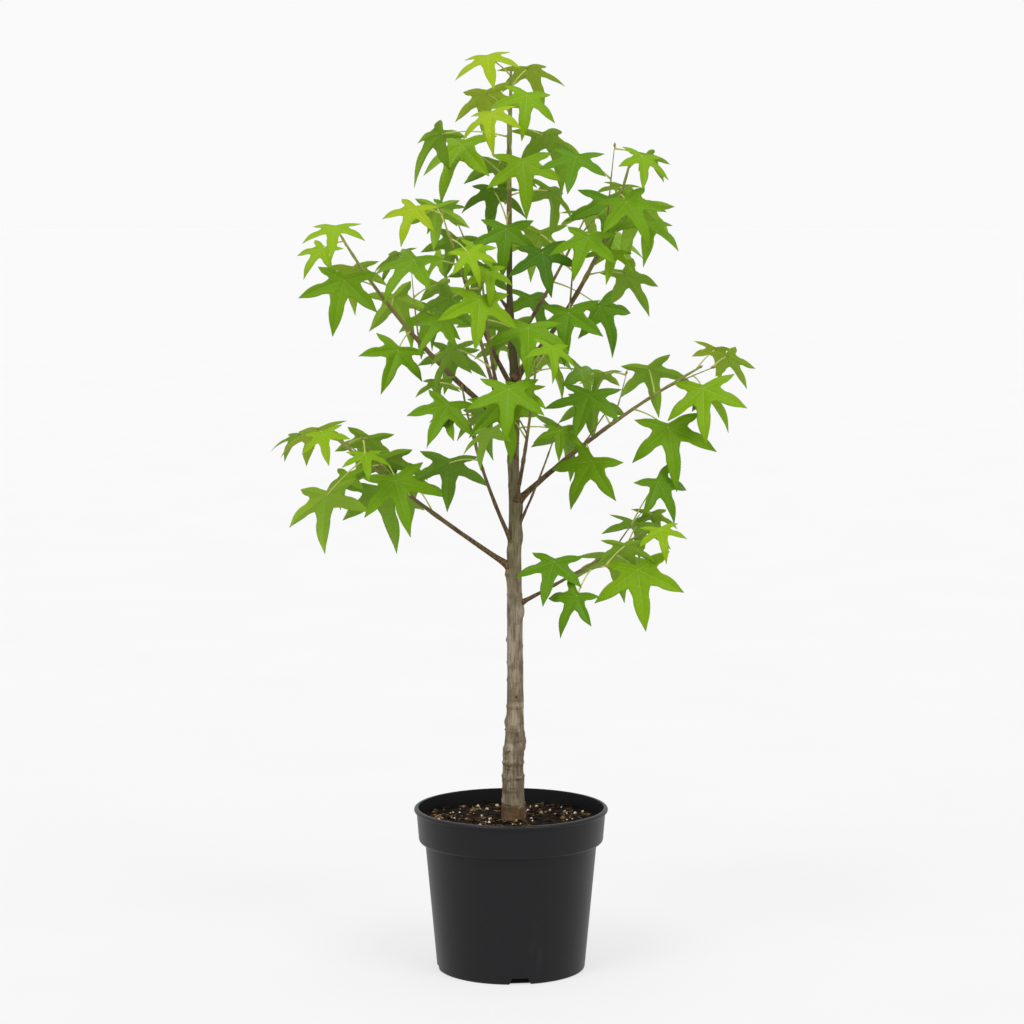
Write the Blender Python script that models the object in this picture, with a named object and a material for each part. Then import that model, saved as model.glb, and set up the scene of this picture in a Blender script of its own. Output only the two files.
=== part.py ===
# A young sweetgum tree in a black nursery pot: pot, soil, trunk, boughs and masses of leaves.
# Metres, +Z up, front towards -Y. The origin is the centre of the pot's flat underside.
# Directions are headings in degrees round Z from +X, and rises in degrees above level.

import math
import random

import bmesh
import bpy
from mathutils import Vector
from mathutils.bvhtree import BVHTree

GAP = 0.0003  # clearance between pieces that touch

# Pot, outer sizes
POT_HEIGHT = 0.223
POT_FOOT_RADIUS = 0.1015
POT_BODY_RADIUS = 0.1175  # at the top of the body, under the collar
POT_WALL = 0.0022
POT_FLOOR = 0.003
FOOT_ROUND = 0.003
COLLAR_FOOT = 0.176  # height where the collar steps out from the body
COLLAR_FOOT_RADIUS = 0.1262
COLLAR_TOP_RADIUS = 0.1292
COLLAR_ROUND = 0.0045
LIP_RADIUS = 0.1326
LIP_HEIGHT = 0.006
ROUND_STEPS = 3
POT_SIDES = 48
POT_SHARP = 35  # degrees between faces, over which an edge stays sharp

# Drain notches in the foot of the pot
NOTCH_COUNT = 4
NOTCH_WIDTH = 0.030
NOTCH_HEIGHT = 0.009
NOTCH_TAPER = 0.7  # width at its top over the width at the floor
NOTCH_DEPTH = 0.010
NOTCH_HEADING = -83.0

# Soil
SOIL_LEVEL = 0.2045

# Trunk: height above the floor, sideways lean and radius
TRUNK_ROWS = (
    (0.2045, 0.004, 0.0178),
    (0.218, 0.0035, 0.0157),
    (0.262, 0.002, 0.0144),
    (0.326, 0.005, 0.0127),
    (0.374, 0.006, 0.0112),
    (0.551, 0.0045, 0.0097),
    (0.631, 0.006, 0.0084),
    (0.706, 0.0025, 0.0077),
    (0.780, 0.0065, 0.0065),
    (0.848, 0.0025, 0.0056),
    (0.915, -0.002, 0.0041),
    (1.115, -0.0025, 0.0031),
    (1.182, -0.0005, 0.0025),
    (1.2185, 0.0, 0.0016),
)
TRUNK_TIP = 0.990  # the woody trunk ends here, and the leafy leader grows on from it
TRUNK_SIDES = 12

# Limbs and twigs
LIMB_WIDTH = 0.0245  # a bough's thickness at the trunk, of its length with its leafy shoot
LIMB_SIDES = 7
LIMB_SHARP = 60
STEM_SIDES = 6
STEM_PIECES = 8
BOUGH_PIECES = 7
COLLAR_SWELL = 0.35  # of a bough's radius, where it leaves the trunk
COLLAR_LENGTH = 0.012
CURVE_STEPS = 14
TIP_SHARE = 0.35  # radius at a shoot's tip over the radius at its root
TWIG_RADIUS = 0.0013
TWIG_SIDES = 5
TWIG_STEPS = 6
TWIG_START = 0.05  # twigs leave the shoot from here
TWIG_SPAN = 0.75  # over this share of it
TWIG_BARE = 0.3  # share of a twig below its leaves
TWIG_LEAVES = 2
TWIG_LEAF_SCALE = 0.9

# How shoots grow. A pair is the range that the seeded rule picks from.
SEED_STEP = 1000  # from one mass's seeds to the next
SHOOT_SEED = 100  # from one shoot's leaf seeds to the next
TWIG_SEED = 90
TWIG_STRAY = (0.1, 0.9)  # a twig's place in its share of the shoot
TWIG_SPLAY = (30, 60)  # between a twig and its shoot, seen from above
TWIG_CLIMB = (-10, 20)  # a twig's rise over its shoot's
TWIG_LIFT = (-20, 15)
TWIG_LENGTH = (0.3, 0.55)  # of its shoot's length
LEADER_TWIG_RISE = (20, 50)
GOLDEN_ANGLE = 137.5  # between one leaf of the leader and the next
LEADER_STRAY = (-25, 25)
SPREAD = 80  # between a shoot and its lowest stalks, seen from above
SPREAD_FALL = 0.4  # of it, that is gone at the shoot's tip
STALK_STRAY = (-30, 30)
STALK_RISE = (-30, 40)
STALK_LENGTH = 0.080
STALK_CURVE = (1.05, -0.55, 0)  # stalk length from the shoot's foot to its tip, as a + bu + cuu
STALK_RANGE = (0.7, 1.15)
STALK_BOW = 0.06  # how far a stalk arches up, of its length
STALK_RADIUS = 0.0009
STALK_END_RADIUS = 0.0006
STALK_SIDES = 3
BLADE_LENGTH = 0.090  # along the middle lobe
BLADE_CURVE = (0.85, 0.75, -1.05)
BLADE_RANGE = (0.8, 1.08)
LEAF_PLACE = 0.7  # where a leaf stands in its share of the shoot
LEAF_CROWDING = 0.85  # under 1, leaves crowd towards the shoot's tip
LIGHT_TURN = 0.5  # how far a blade turns from its stalk's heading to the open side
BLADE_STRAY = (-30, 30)
HANG = 55  # a blade's middle lobe below level
HANG_CURVE = (1, 0, -0.3)
HANG_STRAY = (-15, 15)
ROLL = (-25, 25)
TRIES = 8  # a leaf that would touch something is turned this often, and then left out
TRY_HEADING = (-30, 30)
TRY_RISE = (-15, 15)
TRY_STALK = (0.85, 1.15)
TRY_FACING = (-20, 20)
MASS_REACH = 0.24  # from the middle of a mass's shoot to its furthest leaf tip

# Leaf: five lobes round the end of the stalk, as heading in the blade and length
LOBES = ((-114.0, 0.60), (-60.0, 0.84), (0.0, 1.0), (60.0, 0.84), (114.0, 0.60))
LOBE_WIDTH = 0.25
LOBE_SHOULDER = 0.58  # where along a lobe it is widest
SHORT_LOBE = 0.12  # a lobe shorter than one less this is narrower
OUTER_SINUS = 0.28
INNER_SINUS = 0.35
BASE_NOTCH = 0.08
LEAF_MIDDLE = 0.08  # from the stalk to where the blade is thickest
LEAF_THICKNESS = 0.028  # of its length, there
LEAF_BEND = 0.16  # how far the lobes curve down, of the length squared
MERGE = 1e-6

# Masses of leaves, each on the bough of the same name. root: height on the trunk. azimuth, rise:
# the bough's direction where it leaves the trunk. lift: its turn up to the tip. limb: bare
# length. shoot: leafy length. leaves: on the shoot itself. The leader has no bough of its own,
# and its azimuth is that of its lowest leaf.
MASSES = {
    "low_left": {
        "root": 0.55, "azimuth": 185, "rise": 34, "lift": 6, "limb": 0.1, "shoot": 0.215,
        "leaves": 6, "twigs": 3, "seed": 10,
    },
    "low_right": {
        "root": 0.5, "azimuth": -10, "rise": 28, "lift": 6, "limb": 0.05, "shoot": 0.17,
        "leaves": 5, "twigs": 2, "seed": 13,
    },
    "mid_right": {
        "root": 0.64, "azimuth": 12, "rise": 42, "lift": -14, "limb": 0.09, "shoot": 0.23,
        "leaves": 6, "twigs": 3, "seed": 6,
    },
    "mid_left": {
        "root": 0.74, "azimuth": 166, "rise": 36, "lift": 22, "limb": 0.11, "shoot": 0.25,
        "leaves": 6, "twigs": 2, "seed": 12,
    },
    "high_right": {
        "root": 0.81, "azimuth": -25, "rise": 45, "lift": 30, "limb": 0.09, "shoot": 0.25,
        "leaves": 6, "twigs": 3, "seed": 3,
    },
    "leader": {
        "root": 0.99, "azimuth": 120, "rise": 90, "lift": 0, "limb": 0.0, "shoot": 0.2285,
        "leaves": 12, "twigs": 1, "seed": 16,
    },
    "fork_right": {
        "root": 0.6, "azimuth": -35, "rise": 60, "lift": 10, "limb": 0.06, "shoot": 0.11,
        "leaves": 3, "twigs": 0, "seed": 1,
    },
    "low_front": {
        "root": 0.64, "azimuth": -80, "rise": 42, "lift": 20, "limb": 0.09, "shoot": 0.17,
        "leaves": 4, "twigs": 1, "seed": 2,
    },
    "low_side": {
        "root": 0.58, "azimuth": -140, "rise": 58, "lift": 20, "limb": 0.09, "shoot": 0.16,
        "leaves": 3, "twigs": 1, "seed": 3,
    },
    "low_back": {
        "root": 0.62, "azimuth": 88, "rise": 50, "lift": 15, "limb": 0.1, "shoot": 0.19,
        "leaves": 4, "twigs": 1, "seed": 4,
    },
    "mid_front": {
        "root": 0.7, "azimuth": -108, "rise": 50, "lift": 25, "limb": 0.11, "shoot": 0.18,
        "leaves": 4, "twigs": 1, "seed": 5,
    },
    "mid_back": {
        "root": 0.72, "azimuth": 112, "rise": 42, "lift": 20, "limb": 0.1, "shoot": 0.2,
        "leaves": 4, "twigs": 1, "seed": 6,
    },
    "upper_front": {
        "root": 0.79, "azimuth": -120, "rise": 42, "lift": 20, "limb": 0.1, "shoot": 0.18,
        "leaves": 4, "twigs": 1, "seed": 7,
    },
    "upper_back": {
        "root": 0.85, "azimuth": 55, "rise": 40, "lift": 10, "limb": 0.09, "shoot": 0.17,
        "leaves": 4, "twigs": 1, "seed": 8,
    },
    "high_left": {
        "root": 0.9, "azimuth": 178, "rise": 50, "lift": 20, "limb": 0.03, "shoot": 0.12,
        "leaves": 4, "twigs": 0, "seed": 9,
    },
}

POT_COLOUR = (0.022, 0.022, 0.024)
SOIL_COLOUR = (0.035, 0.02, 0.011)
BARK_COLOUR = (0.23, 0.18, 0.12)
BOUGH_COLOUR = (0.15, 0.08, 0.045)
LEAF_COLOUR = (0.12, 0.3, 0.03)


def clear_scene():
    for old in list(bpy.data.objects):
        bpy.data.objects.remove(old)


def make_material(name, colour, roughness):
    material = bpy.data.materials.new(name)
    material.use_nodes = True
    shader = material.node_tree.nodes["Principled BSDF"]
    shader.inputs["Base Color"].default_value = (*colour, 1.0)
    shader.inputs["Roughness"].default_value = roughness
    shader.inputs["Metallic"].default_value = 0.0
    return material


def add_object(name, mesh, material=None):
    obj = bpy.data.objects.new(name, mesh)
    bpy.context.scene.collection.objects.link(obj)
    if material:
        mesh.materials.append(material)
    return obj


def mesh_from(name, points, faces):
    """A mesh whose faces all point out."""
    mesh = bpy.data.meshes.new(name)
    mesh.from_pydata([tuple(p) for p in points], [], faces)
    work = bmesh.new()
    work.from_mesh(mesh)
    bmesh.ops.recalc_face_normals(work, faces=work.faces)
    work.to_mesh(mesh)
    work.free()
    return mesh


def turned(name, profile, sides):
    """A closed ring turned from a profile of (radius, height) that may touch the axis."""
    points, rings = [], []
    for radius, height in profile:
        if radius == 0:
            rings.append([len(points)])
            points.append((0, 0, height))
            continue
        rings.append(list(range(len(points), len(points) + sides)))
        for k in range(sides):
            turn = math.tau * k / sides
            points.append((radius * math.cos(turn), radius * math.sin(turn), height))
    faces = []
    for a, b in zip(rings, rings[1:] + rings[:1]):
        if len(a) == 1 and len(b) == 1:
            continue
        for k in range(sides):
            after = (k + 1) % sides
            if len(a) == 1:
                faces.append((a[0], b[k], b[after]))
            elif len(b) == 1:
                faces.append((a[k], b[0], a[after]))
            else:
                faces.append((a[k], b[k], b[after], a[after]))
    return mesh_from(name, points, faces)


def direction(azimuth, rise):
    a, e = math.radians(azimuth), math.radians(rise)
    return Vector((math.cos(e) * math.cos(a), math.cos(e) * math.sin(a), math.sin(e)))


def tube_shape(path, radii, sides, level=False):
    """Points and faces of a tapering limb along a path, its rings square to it or level."""
    across = (path[1] - path[0]).orthogonal().normalized()
    before = (path[1] - path[0]).normalized()
    if level:
        across, before = Vector((1, 0, 0)), Vector((0, 0, 1))
    points, faces = [], []
    for i, centre in enumerate(path):
        along = (path[min(i + 1, len(path) - 1)] - path[max(i - 1, 0)]).normalized()
        if level:
            along = Vector((0, 0, 1))
        across = before.rotation_difference(along) @ across
        before = along
        other = along.cross(across)
        for k in range(sides):
            turn = math.tau * k / sides
            points.append(centre + radii[i] * (math.cos(turn) * across + math.sin(turn) * other))
    for i in range(len(path) - 1):
        for k in range(sides):
            after = (k + 1) % sides
            low, high = i * sides, (i + 1) * sides
            faces.append((low + k, low + after, high + after, high + k))
    faces.append(tuple(reversed(range(sides))))
    faces.append(tuple(range((len(path) - 1) * sides, len(path) * sides)))
    return points, faces


def trunk_at(height):
    """Centre and radius of the trunk and leader at a height."""
    for (z0, x0, r0), (z1, x1, r1) in zip(TRUNK_ROWS, TRUNK_ROWS[1:]):
        if height <= z1:
            break
    share = min(1.0, max(0.0, (height - z0) / (z1 - z0)))
    return Vector((x0 + (x1 - x0) * share, 0, height)), r0 + (r1 - r0) * share


def curve_path(start, azimuth, rise, lift, length, steps):
    path = [start.copy()]
    for i in range(steps):
        step = direction(azimuth, rise + lift * (i + 0.5) / steps) * (length / steps)
        path.append(path[-1] + step)
    return path


def path_point(path, share):
    x = share * (len(path) - 1)
    i = min(int(x), len(path) - 2)
    return path[i].lerp(path[i + 1], x - i)


def path_part(path, start, end, pieces):
    return [path_point(path, start + (end - start) * k / pieces) for k in range(pieces + 1)]


def leaf_outline():
    """The blade's edge as (across, along), from the base notch round to it again."""
    edge = []
    for k, (heading, length) in enumerate(LOBES):
        turn = math.radians(heading)
        along = Vector((math.sin(turn), math.cos(turn)))
        across = Vector((math.cos(turn), -math.sin(turn)))
        half = LOBE_WIDTH / 2 * min(1.0, length + SHORT_LOBE)
        shoulder = along * length * LOBE_SHOULDER
        edge += [shoulder - across * half, along * length, shoulder + across * half]
        if k < len(LOBES) - 1:
            middle = math.radians((heading + LOBES[k + 1][0]) / 2)
            depth = INNER_SINUS if k in (1, 2) else OUTER_SINUS
            edge.append(Vector((math.sin(middle), math.cos(middle))) * depth)
    edge.append(Vector((0, -BASE_NOTCH)))
    return edge


def leaf_shape(leaf, outline):
    """Points and faces of one blade: a thin lens over the bent outline."""
    size = leaf["size"]
    half = leaf["normal"] * (size * LEAF_THICKNESS / 2)
    middle = leaf["base"] + leaf["along"] * (size * LEAF_MIDDLE)
    points = [middle + half, middle - half]
    for edge in outline:
        bend = -LEAF_BEND * edge.length_squared
        offset = edge.y * leaf["along"] + edge.x * leaf["across"] + bend * leaf["normal"]
        points.append(leaf["base"] + size * offset)
    count = len(outline)
    faces = []
    for k in range(count):
        a, b = 2 + k, 2 + (k + 1) % count
        faces += [(0, a, b), (1, b, a)]
    return points, faces


def stalk_shape(leaf):
    path = [leaf["node"], leaf["node"].lerp(leaf["base"], 0.5), leaf["base"]]
    path[1].z += leaf["bow"]
    return tube_shape(path, [STALK_RADIUS, STALK_RADIUS, STALK_END_RADIUS], STALK_SIDES)


def is_leader(mass):
    return mass["limb"] == 0


def along_shoot(curve, u):
    return curve[0] + curve[1] * u + curve[2] * u * u


def main_path(mass):
    """The middle line of a bough and its leafy shoot, or of the leader."""
    total = mass["limb"] + mass["shoot"]
    if is_leader(mass):
        heights = [mass["root"] + total * k / CURVE_STEPS for k in range(CURVE_STEPS + 1)]
        return [trunk_at(z)[0] for z in heights]
    start = trunk_at(mass["root"])[0]
    return curve_path(start, mass["azimuth"], mass["rise"], mass["lift"], total, CURVE_STEPS)


def shoots_of(mass):
    """The main shoot and its twigs: path, where leaves start, heading, leaf count and scale."""
    path = main_path(mass)
    first = mass["limb"] / (mass["limb"] + mass["shoot"])
    shoots = [(path, first, mass["azimuth"], mass["leaves"], 1.0)]
    for k in range(mass["twigs"]):
        rule = random.Random(mass["seed"] * SEED_STEP + TWIG_SEED + k)
        place = TWIG_START + TWIG_SPAN * (k + rule.uniform(*TWIG_STRAY)) / mass["twigs"]
        s = first + (1 - first) * place
        if is_leader(mass):
            azimuth = rule.uniform(0, 360)
            rise = rule.uniform(*LEADER_TWIG_RISE)
        else:
            side = 1 if k % 2 else -1
            azimuth = mass["azimuth"] + side * rule.uniform(*TWIG_SPLAY)
            rise = mass["rise"] + mass["lift"] * s + rule.uniform(*TWIG_CLIMB)
        lift = rule.uniform(*TWIG_LIFT)
        length = mass["shoot"] * rule.uniform(*TWIG_LENGTH)
        twig = curve_path(path_point(path, s), azimuth, rise, lift, length, TWIG_STEPS)
        shoots.append((twig, TWIG_BARE, azimuth, TWIG_LEAVES, TWIG_LEAF_SCALE))
    return shoots


def leaf_of(mass, shoot, number, i, change):
    """The i-th leaf of a mass's numbered shoot. change turns it a little, for another try."""
    path, first, heading, count, scale = shoot
    rule = random.Random(mass["seed"] * SEED_STEP + number * SHOOT_SEED + i)
    u = (i + LEAF_PLACE) / count
    node = path_point(path, first + (1 - first) * u**LEAF_CROWDING)
    if is_leader(mass):
        azimuth = mass["azimuth"] + GOLDEN_ANGLE * i + rule.uniform(*LEADER_STRAY)
    else:
        side = 1 if i % 2 else -1
        spread = SPREAD * (1 - SPREAD_FALL * u)
        azimuth = heading + side * spread + rule.uniform(*STALK_STRAY)
    rise = rule.uniform(*STALK_RISE)
    stalk = STALK_LENGTH * along_shoot(STALK_CURVE, u) * rule.uniform(*STALK_RANGE)
    size = BLADE_LENGTH * scale * along_shoot(BLADE_CURVE, u) * rule.uniform(*BLADE_RANGE)
    open_side = -90 if math.sin(math.radians(azimuth)) < 0 else 90
    turn = (open_side - azimuth + 180) % 360 - 180
    facing = azimuth + LIGHT_TURN * turn + rule.uniform(*BLADE_STRAY)
    hang = HANG * along_shoot(HANG_CURVE, u) + rule.uniform(*HANG_STRAY)
    roll = math.radians(rule.uniform(*ROLL))
    for _ in range(change):
        azimuth += rule.uniform(*TRY_HEADING)
        rise += rule.uniform(*TRY_RISE)
        stalk *= rule.uniform(*TRY_STALK)
        facing += rule.uniform(*TRY_FACING)
    along = direction(facing, -hang)
    normal = direction(facing, 90 - hang)
    across = along.cross(normal)
    return {
        "node": node,
        "base": node + direction(azimuth, rise) * stalk,
        "along": along * math.cos(roll) + across * math.sin(roll),
        "across": across * math.cos(roll) - along * math.sin(roll),
        "normal": normal,
        "size": size,
        "bow": stalk * STALK_BOW,
    }


def bvh_of(shapes):
    points, faces = [], []
    for shape_points, shape_faces in shapes:
        start = len(points)
        points += shape_points
        faces += [tuple(start + v for v in face) for face in shape_faces]
    return BVHTree.FromPolygons(points, faces)


def quarter_round(radius, height, size, start, end):
    """Points of a rounded corner about a centre, as (radius, height)."""
    angles = [math.radians(start + (end - start) * k / ROUND_STEPS) for k in range(ROUND_STEPS + 1)]
    return [(radius + size * math.cos(a), height + size * math.sin(a)) for a in angles]


def pot_inside():
    """The inner face of the pot, from the middle of its floor to the rim."""
    step = COLLAR_FOOT + POT_WALL
    slope = (POT_BODY_RADIUS - POT_FOOT_RADIUS) / COLLAR_FOOT
    foot = POT_FOOT_RADIUS + slope * POT_FLOOR - POT_WALL
    return [
        (0, POT_FLOOR),
        (foot, POT_FLOOR),
        (POT_BODY_RADIUS - POT_WALL, step),
        (COLLAR_FOOT_RADIUS - POT_WALL, step + COLLAR_ROUND),
        (COLLAR_TOP_RADIUS - POT_WALL, POT_HEIGHT),
    ]


def make_pot(material):
    foot = quarter_round(POT_FOOT_RADIUS - FOOT_ROUND, FOOT_ROUND, FOOT_ROUND, -90, 0)
    turn_out = COLLAR_FOOT_RADIUS - COLLAR_ROUND
    collar = quarter_round(turn_out, COLLAR_FOOT + COLLAR_ROUND, COLLAR_ROUND, -90, 0)
    lip_half = LIP_HEIGHT / 2
    lip = quarter_round(LIP_RADIUS - lip_half, POT_HEIGHT - lip_half, lip_half, -60, 90)
    body_top = (POT_BODY_RADIUS, COLLAR_FOOT)
    under_lip = (COLLAR_TOP_RADIUS, POT_HEIGHT - LIP_HEIGHT)
    outside = [(0, 0), *foot, body_top, *collar, under_lip, *lip]
    profile = outside + list(reversed(pot_inside()))
    pot = add_object("pot", turned("pot", profile, POT_SIDES), material)
    cut = pot.modifiers.new("drain notches", "BOOLEAN")
    cut.operation = "DIFFERENCE"
    cut.object = make_notch_cutter()
    pot.data.shade_smooth()
    pot.data.set_sharp_from_angle(angle=math.radians(POT_SHARP))
    return pot


def make_notch_cutter():
    """Four wedges standing across the edge of the pot's foot."""
    points, faces = [], []
    inner, outer = POT_FOOT_RADIUS - NOTCH_DEPTH, POT_FOOT_RADIUS + NOTCH_DEPTH
    low = -NOTCH_HEIGHT
    for k in range(NOTCH_COUNT):
        out = direction(NOTCH_HEADING + 360 * k / NOTCH_COUNT, 0)
        side = Vector((-out.y, out.x, 0))
        start = len(points)
        for height, width in ((low, 2 - NOTCH_TAPER), (NOTCH_HEIGHT, NOTCH_TAPER)):
            half = NOTCH_WIDTH / 2 * width
            for away, across in ((inner, -half), (outer, -half), (outer, half), (inner, half)):
                points.append(out * away + side * across + Vector((0, 0, height)))
        box = ((3, 2, 1, 0), (4, 5, 6, 7), (0, 1, 5, 4), (1, 2, 6, 5), (2, 3, 7, 6), (3, 0, 4, 7))
        faces += [tuple(start + v for v in face) for face in box]
    cutter = add_object("notch_cutter", mesh_from("notch_cutter", points, faces))
    cutter.hide_render = True
    cutter.display_type = "WIRE"
    return cutter


def make_soil(material):
    """The potting mix as one plug that fills the pot to the soil level."""
    inside = pot_inside()
    collar_low, collar_top = inside[3], inside[4]
    share = (SOIL_LEVEL - collar_low[1]) / (collar_top[1] - collar_low[1])
    top_radius = collar_low[0] + (collar_top[0] - collar_low[0]) * share
    profile = [
        (0, inside[0][1] + GAP),
        (inside[1][0] - GAP, inside[1][1] + GAP),
        (inside[2][0] - GAP, inside[2][1] + GAP),
        (collar_low[0] - GAP, collar_low[1] + GAP),
        (top_radius - GAP, SOIL_LEVEL),
        (0, SOIL_LEVEL),
    ]
    return add_object("soil", turned("soil", profile, POT_SIDES), material)


def trunk_mesh(name, extra):
    """The trunk from its flat foot on the soil to its tip, grown by extra all round."""
    foot = SOIL_LEVEL + GAP - extra
    heights = [foot] + [row[0] for row in TRUNK_ROWS[1:] if row[0] < TRUNK_TIP] + [TRUNK_TIP + extra]
    path = [trunk_at(z)[0].xy.to_3d() + Vector((0, 0, z)) for z in heights]
    radii = [trunk_at(z)[1] + extra for z in heights]
    return mesh_from(name, *tube_shape(path, radii, TRUNK_SIDES, level=True))


def make_trunk(material):
    trunk = add_object("trunk", trunk_mesh("trunk", 0), material)
    trunk.data.shade_smooth()
    trunk.data.set_sharp_from_angle(angle=math.radians(LIMB_SHARP))
    return trunk


def limb_radii(mass, start, end, pieces):
    """Radii along a limb: an even taper, with a small collar where it leaves the trunk."""
    total = mass["limb"] + mass["shoot"]
    radii = []
    for k in range(pieces + 1):
        s = start + (end - start) * k / pieces
        collar = 1 + COLLAR_SWELL * math.exp(-s * total / COLLAR_LENGTH)
        radii.append(total * LIMB_WIDTH / 2 * (1 - (1 - TIP_SHARE) * s) * collar)
    return radii


def bough_shape(mass):
    total = mass["limb"] + mass["shoot"]
    end = (mass["limb"] - GAP / 2) / total
    path = path_part(main_path(mass), 0, end, BOUGH_PIECES)
    return tube_shape(path, limb_radii(mass, 0, end, BOUGH_PIECES), LIMB_SIDES)


def stem_shape(mass):
    """The leafy shoot's own stem, 0.3 mm on from the tip that it grows from."""
    total = mass["limb"] + mass["shoot"]
    start = (mass["limb"] + GAP / 2) / total
    path = path_part(main_path(mass), start, 1, STEM_PIECES)
    if is_leader(mass):
        path[0].z = TRUNK_TIP + GAP
        radii = [trunk_at(point.z)[1] for point in path]
    else:
        radii = limb_radii(mass, start, 1, STEM_PIECES)
    return tube_shape(path, radii, STEM_SIDES, level=is_leader(mass))


def twig_shape(shoot):
    path = shoot[0]
    ends = len(path) - 1
    radii = [TWIG_RADIUS * (1 - (1 - TIP_SHARE) * k / ends) for k in range(ends + 1)]
    return tube_shape(path, radii, TWIG_SIDES)


def make_bough(name, mass, cutter, material):
    bough = add_object(name + "_bough", mesh_from(name, *bough_shape(mass)), material)
    cut = bough.modifiers.new("trunk", "BOOLEAN")
    cut.operation = "DIFFERENCE"
    cut.object = cutter
    bough.data.shade_smooth()
    bough.data.set_sharp_from_angle(angle=math.radians(LIMB_SHARP))
    return bough


def grow_leaves(wood):
    """The leaves of every mass that keep to its space and clear of wood and other leaves."""
    outline = leaf_outline()
    placed = []
    grown = {}
    for name, mass in MASSES.items():
        grown[name] = []
        shoots = shoots_of(mass)
        middle = path_point(shoots[0][0], (1 + shoots[0][1]) / 2)
        for number, shoot in enumerate(shoots):
            for i in range(shoot[3]):
                for change in range(TRIES):
                    leaf = leaf_of(mass, shoot, number, i, change)
                    blade, stalk = leaf_shape(leaf, outline), stalk_shape(leaf)
                    free = stalk[0][STALK_SIDES:], stalk[1][STALK_SIDES:-2] + [stalk[1][-1]]
                    free = free[0], [tuple(v - STALK_SIDES for v in face) for face in free[1]]
                    tree = bvh_of([blade, free])
                    if max((point - middle).length for point in blade[0]) > MASS_REACH:
                        continue
                    if tree.overlap(wood) or any(tree.overlap(other) for other in placed):
                        continue
                    placed.append(tree)
                    grown[name].append(leaf)
                    break
    return grown


def keep_main_body(mesh):
    """Drops loose scraps and the skins of sealed hollows."""
    work = bmesh.new()
    work.from_mesh(mesh)
    bmesh.ops.triangulate(work, faces=work.faces)
    bmesh.ops.remove_doubles(work, verts=work.verts, dist=MERGE)
    bmesh.ops.dissolve_degenerate(work, edges=work.edges, dist=MERGE)
    left = set(work.verts)
    bodies = []
    while left:
        body, front = set(), [left.pop()]
        while front:
            vert = front.pop()
            body.add(vert)
            near = [edge.other_vert(vert) for edge in vert.link_edges]
            new = [other for other in near if other in left]
            left.difference_update(new)
            front += new
        bodies.append(body)
    bodies.sort(key=len)
    for body in bodies[:-1]:
        bmesh.ops.delete(work, geom=list(body), context="VERTS")
    work.to_mesh(mesh)
    work.free()


def make_mass(name, mass, leaves, material):
    """Stem, twigs, stalks and blades joined into one solid."""
    outline = leaf_outline()
    shapes = [twig_shape(shoot) for shoot in shoots_of(mass)[1:]]
    for leaf in leaves:
        shapes += [stalk_shape(leaf), leaf_shape(leaf, outline)]
    pieces = bpy.data.collections.new(name)
    for shape in shapes:
        piece = bpy.data.objects.new(name, mesh_from(name, *shape))
        pieces.objects.link(piece)
    stem = add_object(name + "_leaves", mesh_from(name, *stem_shape(mass)), material)
    join = stem.modifiers.new("join", "BOOLEAN")
    join.operation = "UNION"
    join.operand_type = "COLLECTION"
    join.collection = pieces
    graph = bpy.context.evaluated_depsgraph_get()
    joined = bpy.data.meshes.new_from_object(stem.evaluated_get(graph))
    stem.modifiers.clear()
    stem.data = joined
    keep_main_body(stem.data)
    for piece in list(pieces.objects):
        bpy.data.objects.remove(piece)
    bpy.data.collections.remove(pieces)
    return stem


def main():
    clear_scene()
    bark = make_material("bark", BARK_COLOUR, 0.85)
    young_bark = make_material("young_bark", BOUGH_COLOUR, 0.6)
    foliage = make_material("leaf", LEAF_COLOUR, 0.5)
    make_pot(make_material("pot_plastic", POT_COLOUR, 0.45))
    make_soil(make_material("soil", SOIL_COLOUR, 0.95))
    make_trunk(bark)
    cutter = add_object("trunk_clearance", trunk_mesh("trunk_clearance", GAP))
    cutter.hide_render = True
    cutter.display_type = "WIRE"

    skin = cutter.data
    wood = [([v.co.copy() for v in skin.vertices], [tuple(p.vertices) for p in skin.polygons])]
    for name, mass in MASSES.items():
        wood.append(stem_shape(mass))
        wood += [twig_shape(shoot) for shoot in shoots_of(mass)[1:]]
        if not is_leader(mass):
            wood.append(bough_shape(mass))
            make_bough(name, mass, cutter, young_bark)
    grown = grow_leaves(bvh_of(wood))
    for name, mass in MASSES.items():
        make_mass(name, mass, grown[name], foliage)


main()
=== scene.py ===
import math
import random

import bpy
import numpy as np
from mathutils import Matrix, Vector, noise
from mathutils.bvhtree import BVHTree


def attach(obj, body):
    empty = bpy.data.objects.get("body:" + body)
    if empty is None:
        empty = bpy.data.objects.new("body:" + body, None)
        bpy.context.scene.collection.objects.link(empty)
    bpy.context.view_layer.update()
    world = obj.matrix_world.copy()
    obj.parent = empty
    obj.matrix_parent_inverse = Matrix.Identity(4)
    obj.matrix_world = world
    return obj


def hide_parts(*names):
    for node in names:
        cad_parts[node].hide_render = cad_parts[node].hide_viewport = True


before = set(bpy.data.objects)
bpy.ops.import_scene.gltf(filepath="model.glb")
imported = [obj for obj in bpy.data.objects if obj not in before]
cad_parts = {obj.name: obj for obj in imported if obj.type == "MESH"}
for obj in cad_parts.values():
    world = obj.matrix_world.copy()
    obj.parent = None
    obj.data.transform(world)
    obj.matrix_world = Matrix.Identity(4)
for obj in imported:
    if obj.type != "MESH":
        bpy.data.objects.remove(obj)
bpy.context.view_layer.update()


# shader maths: a Wire is a socket that takes part in sums, a Shader is one material being wired

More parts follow.
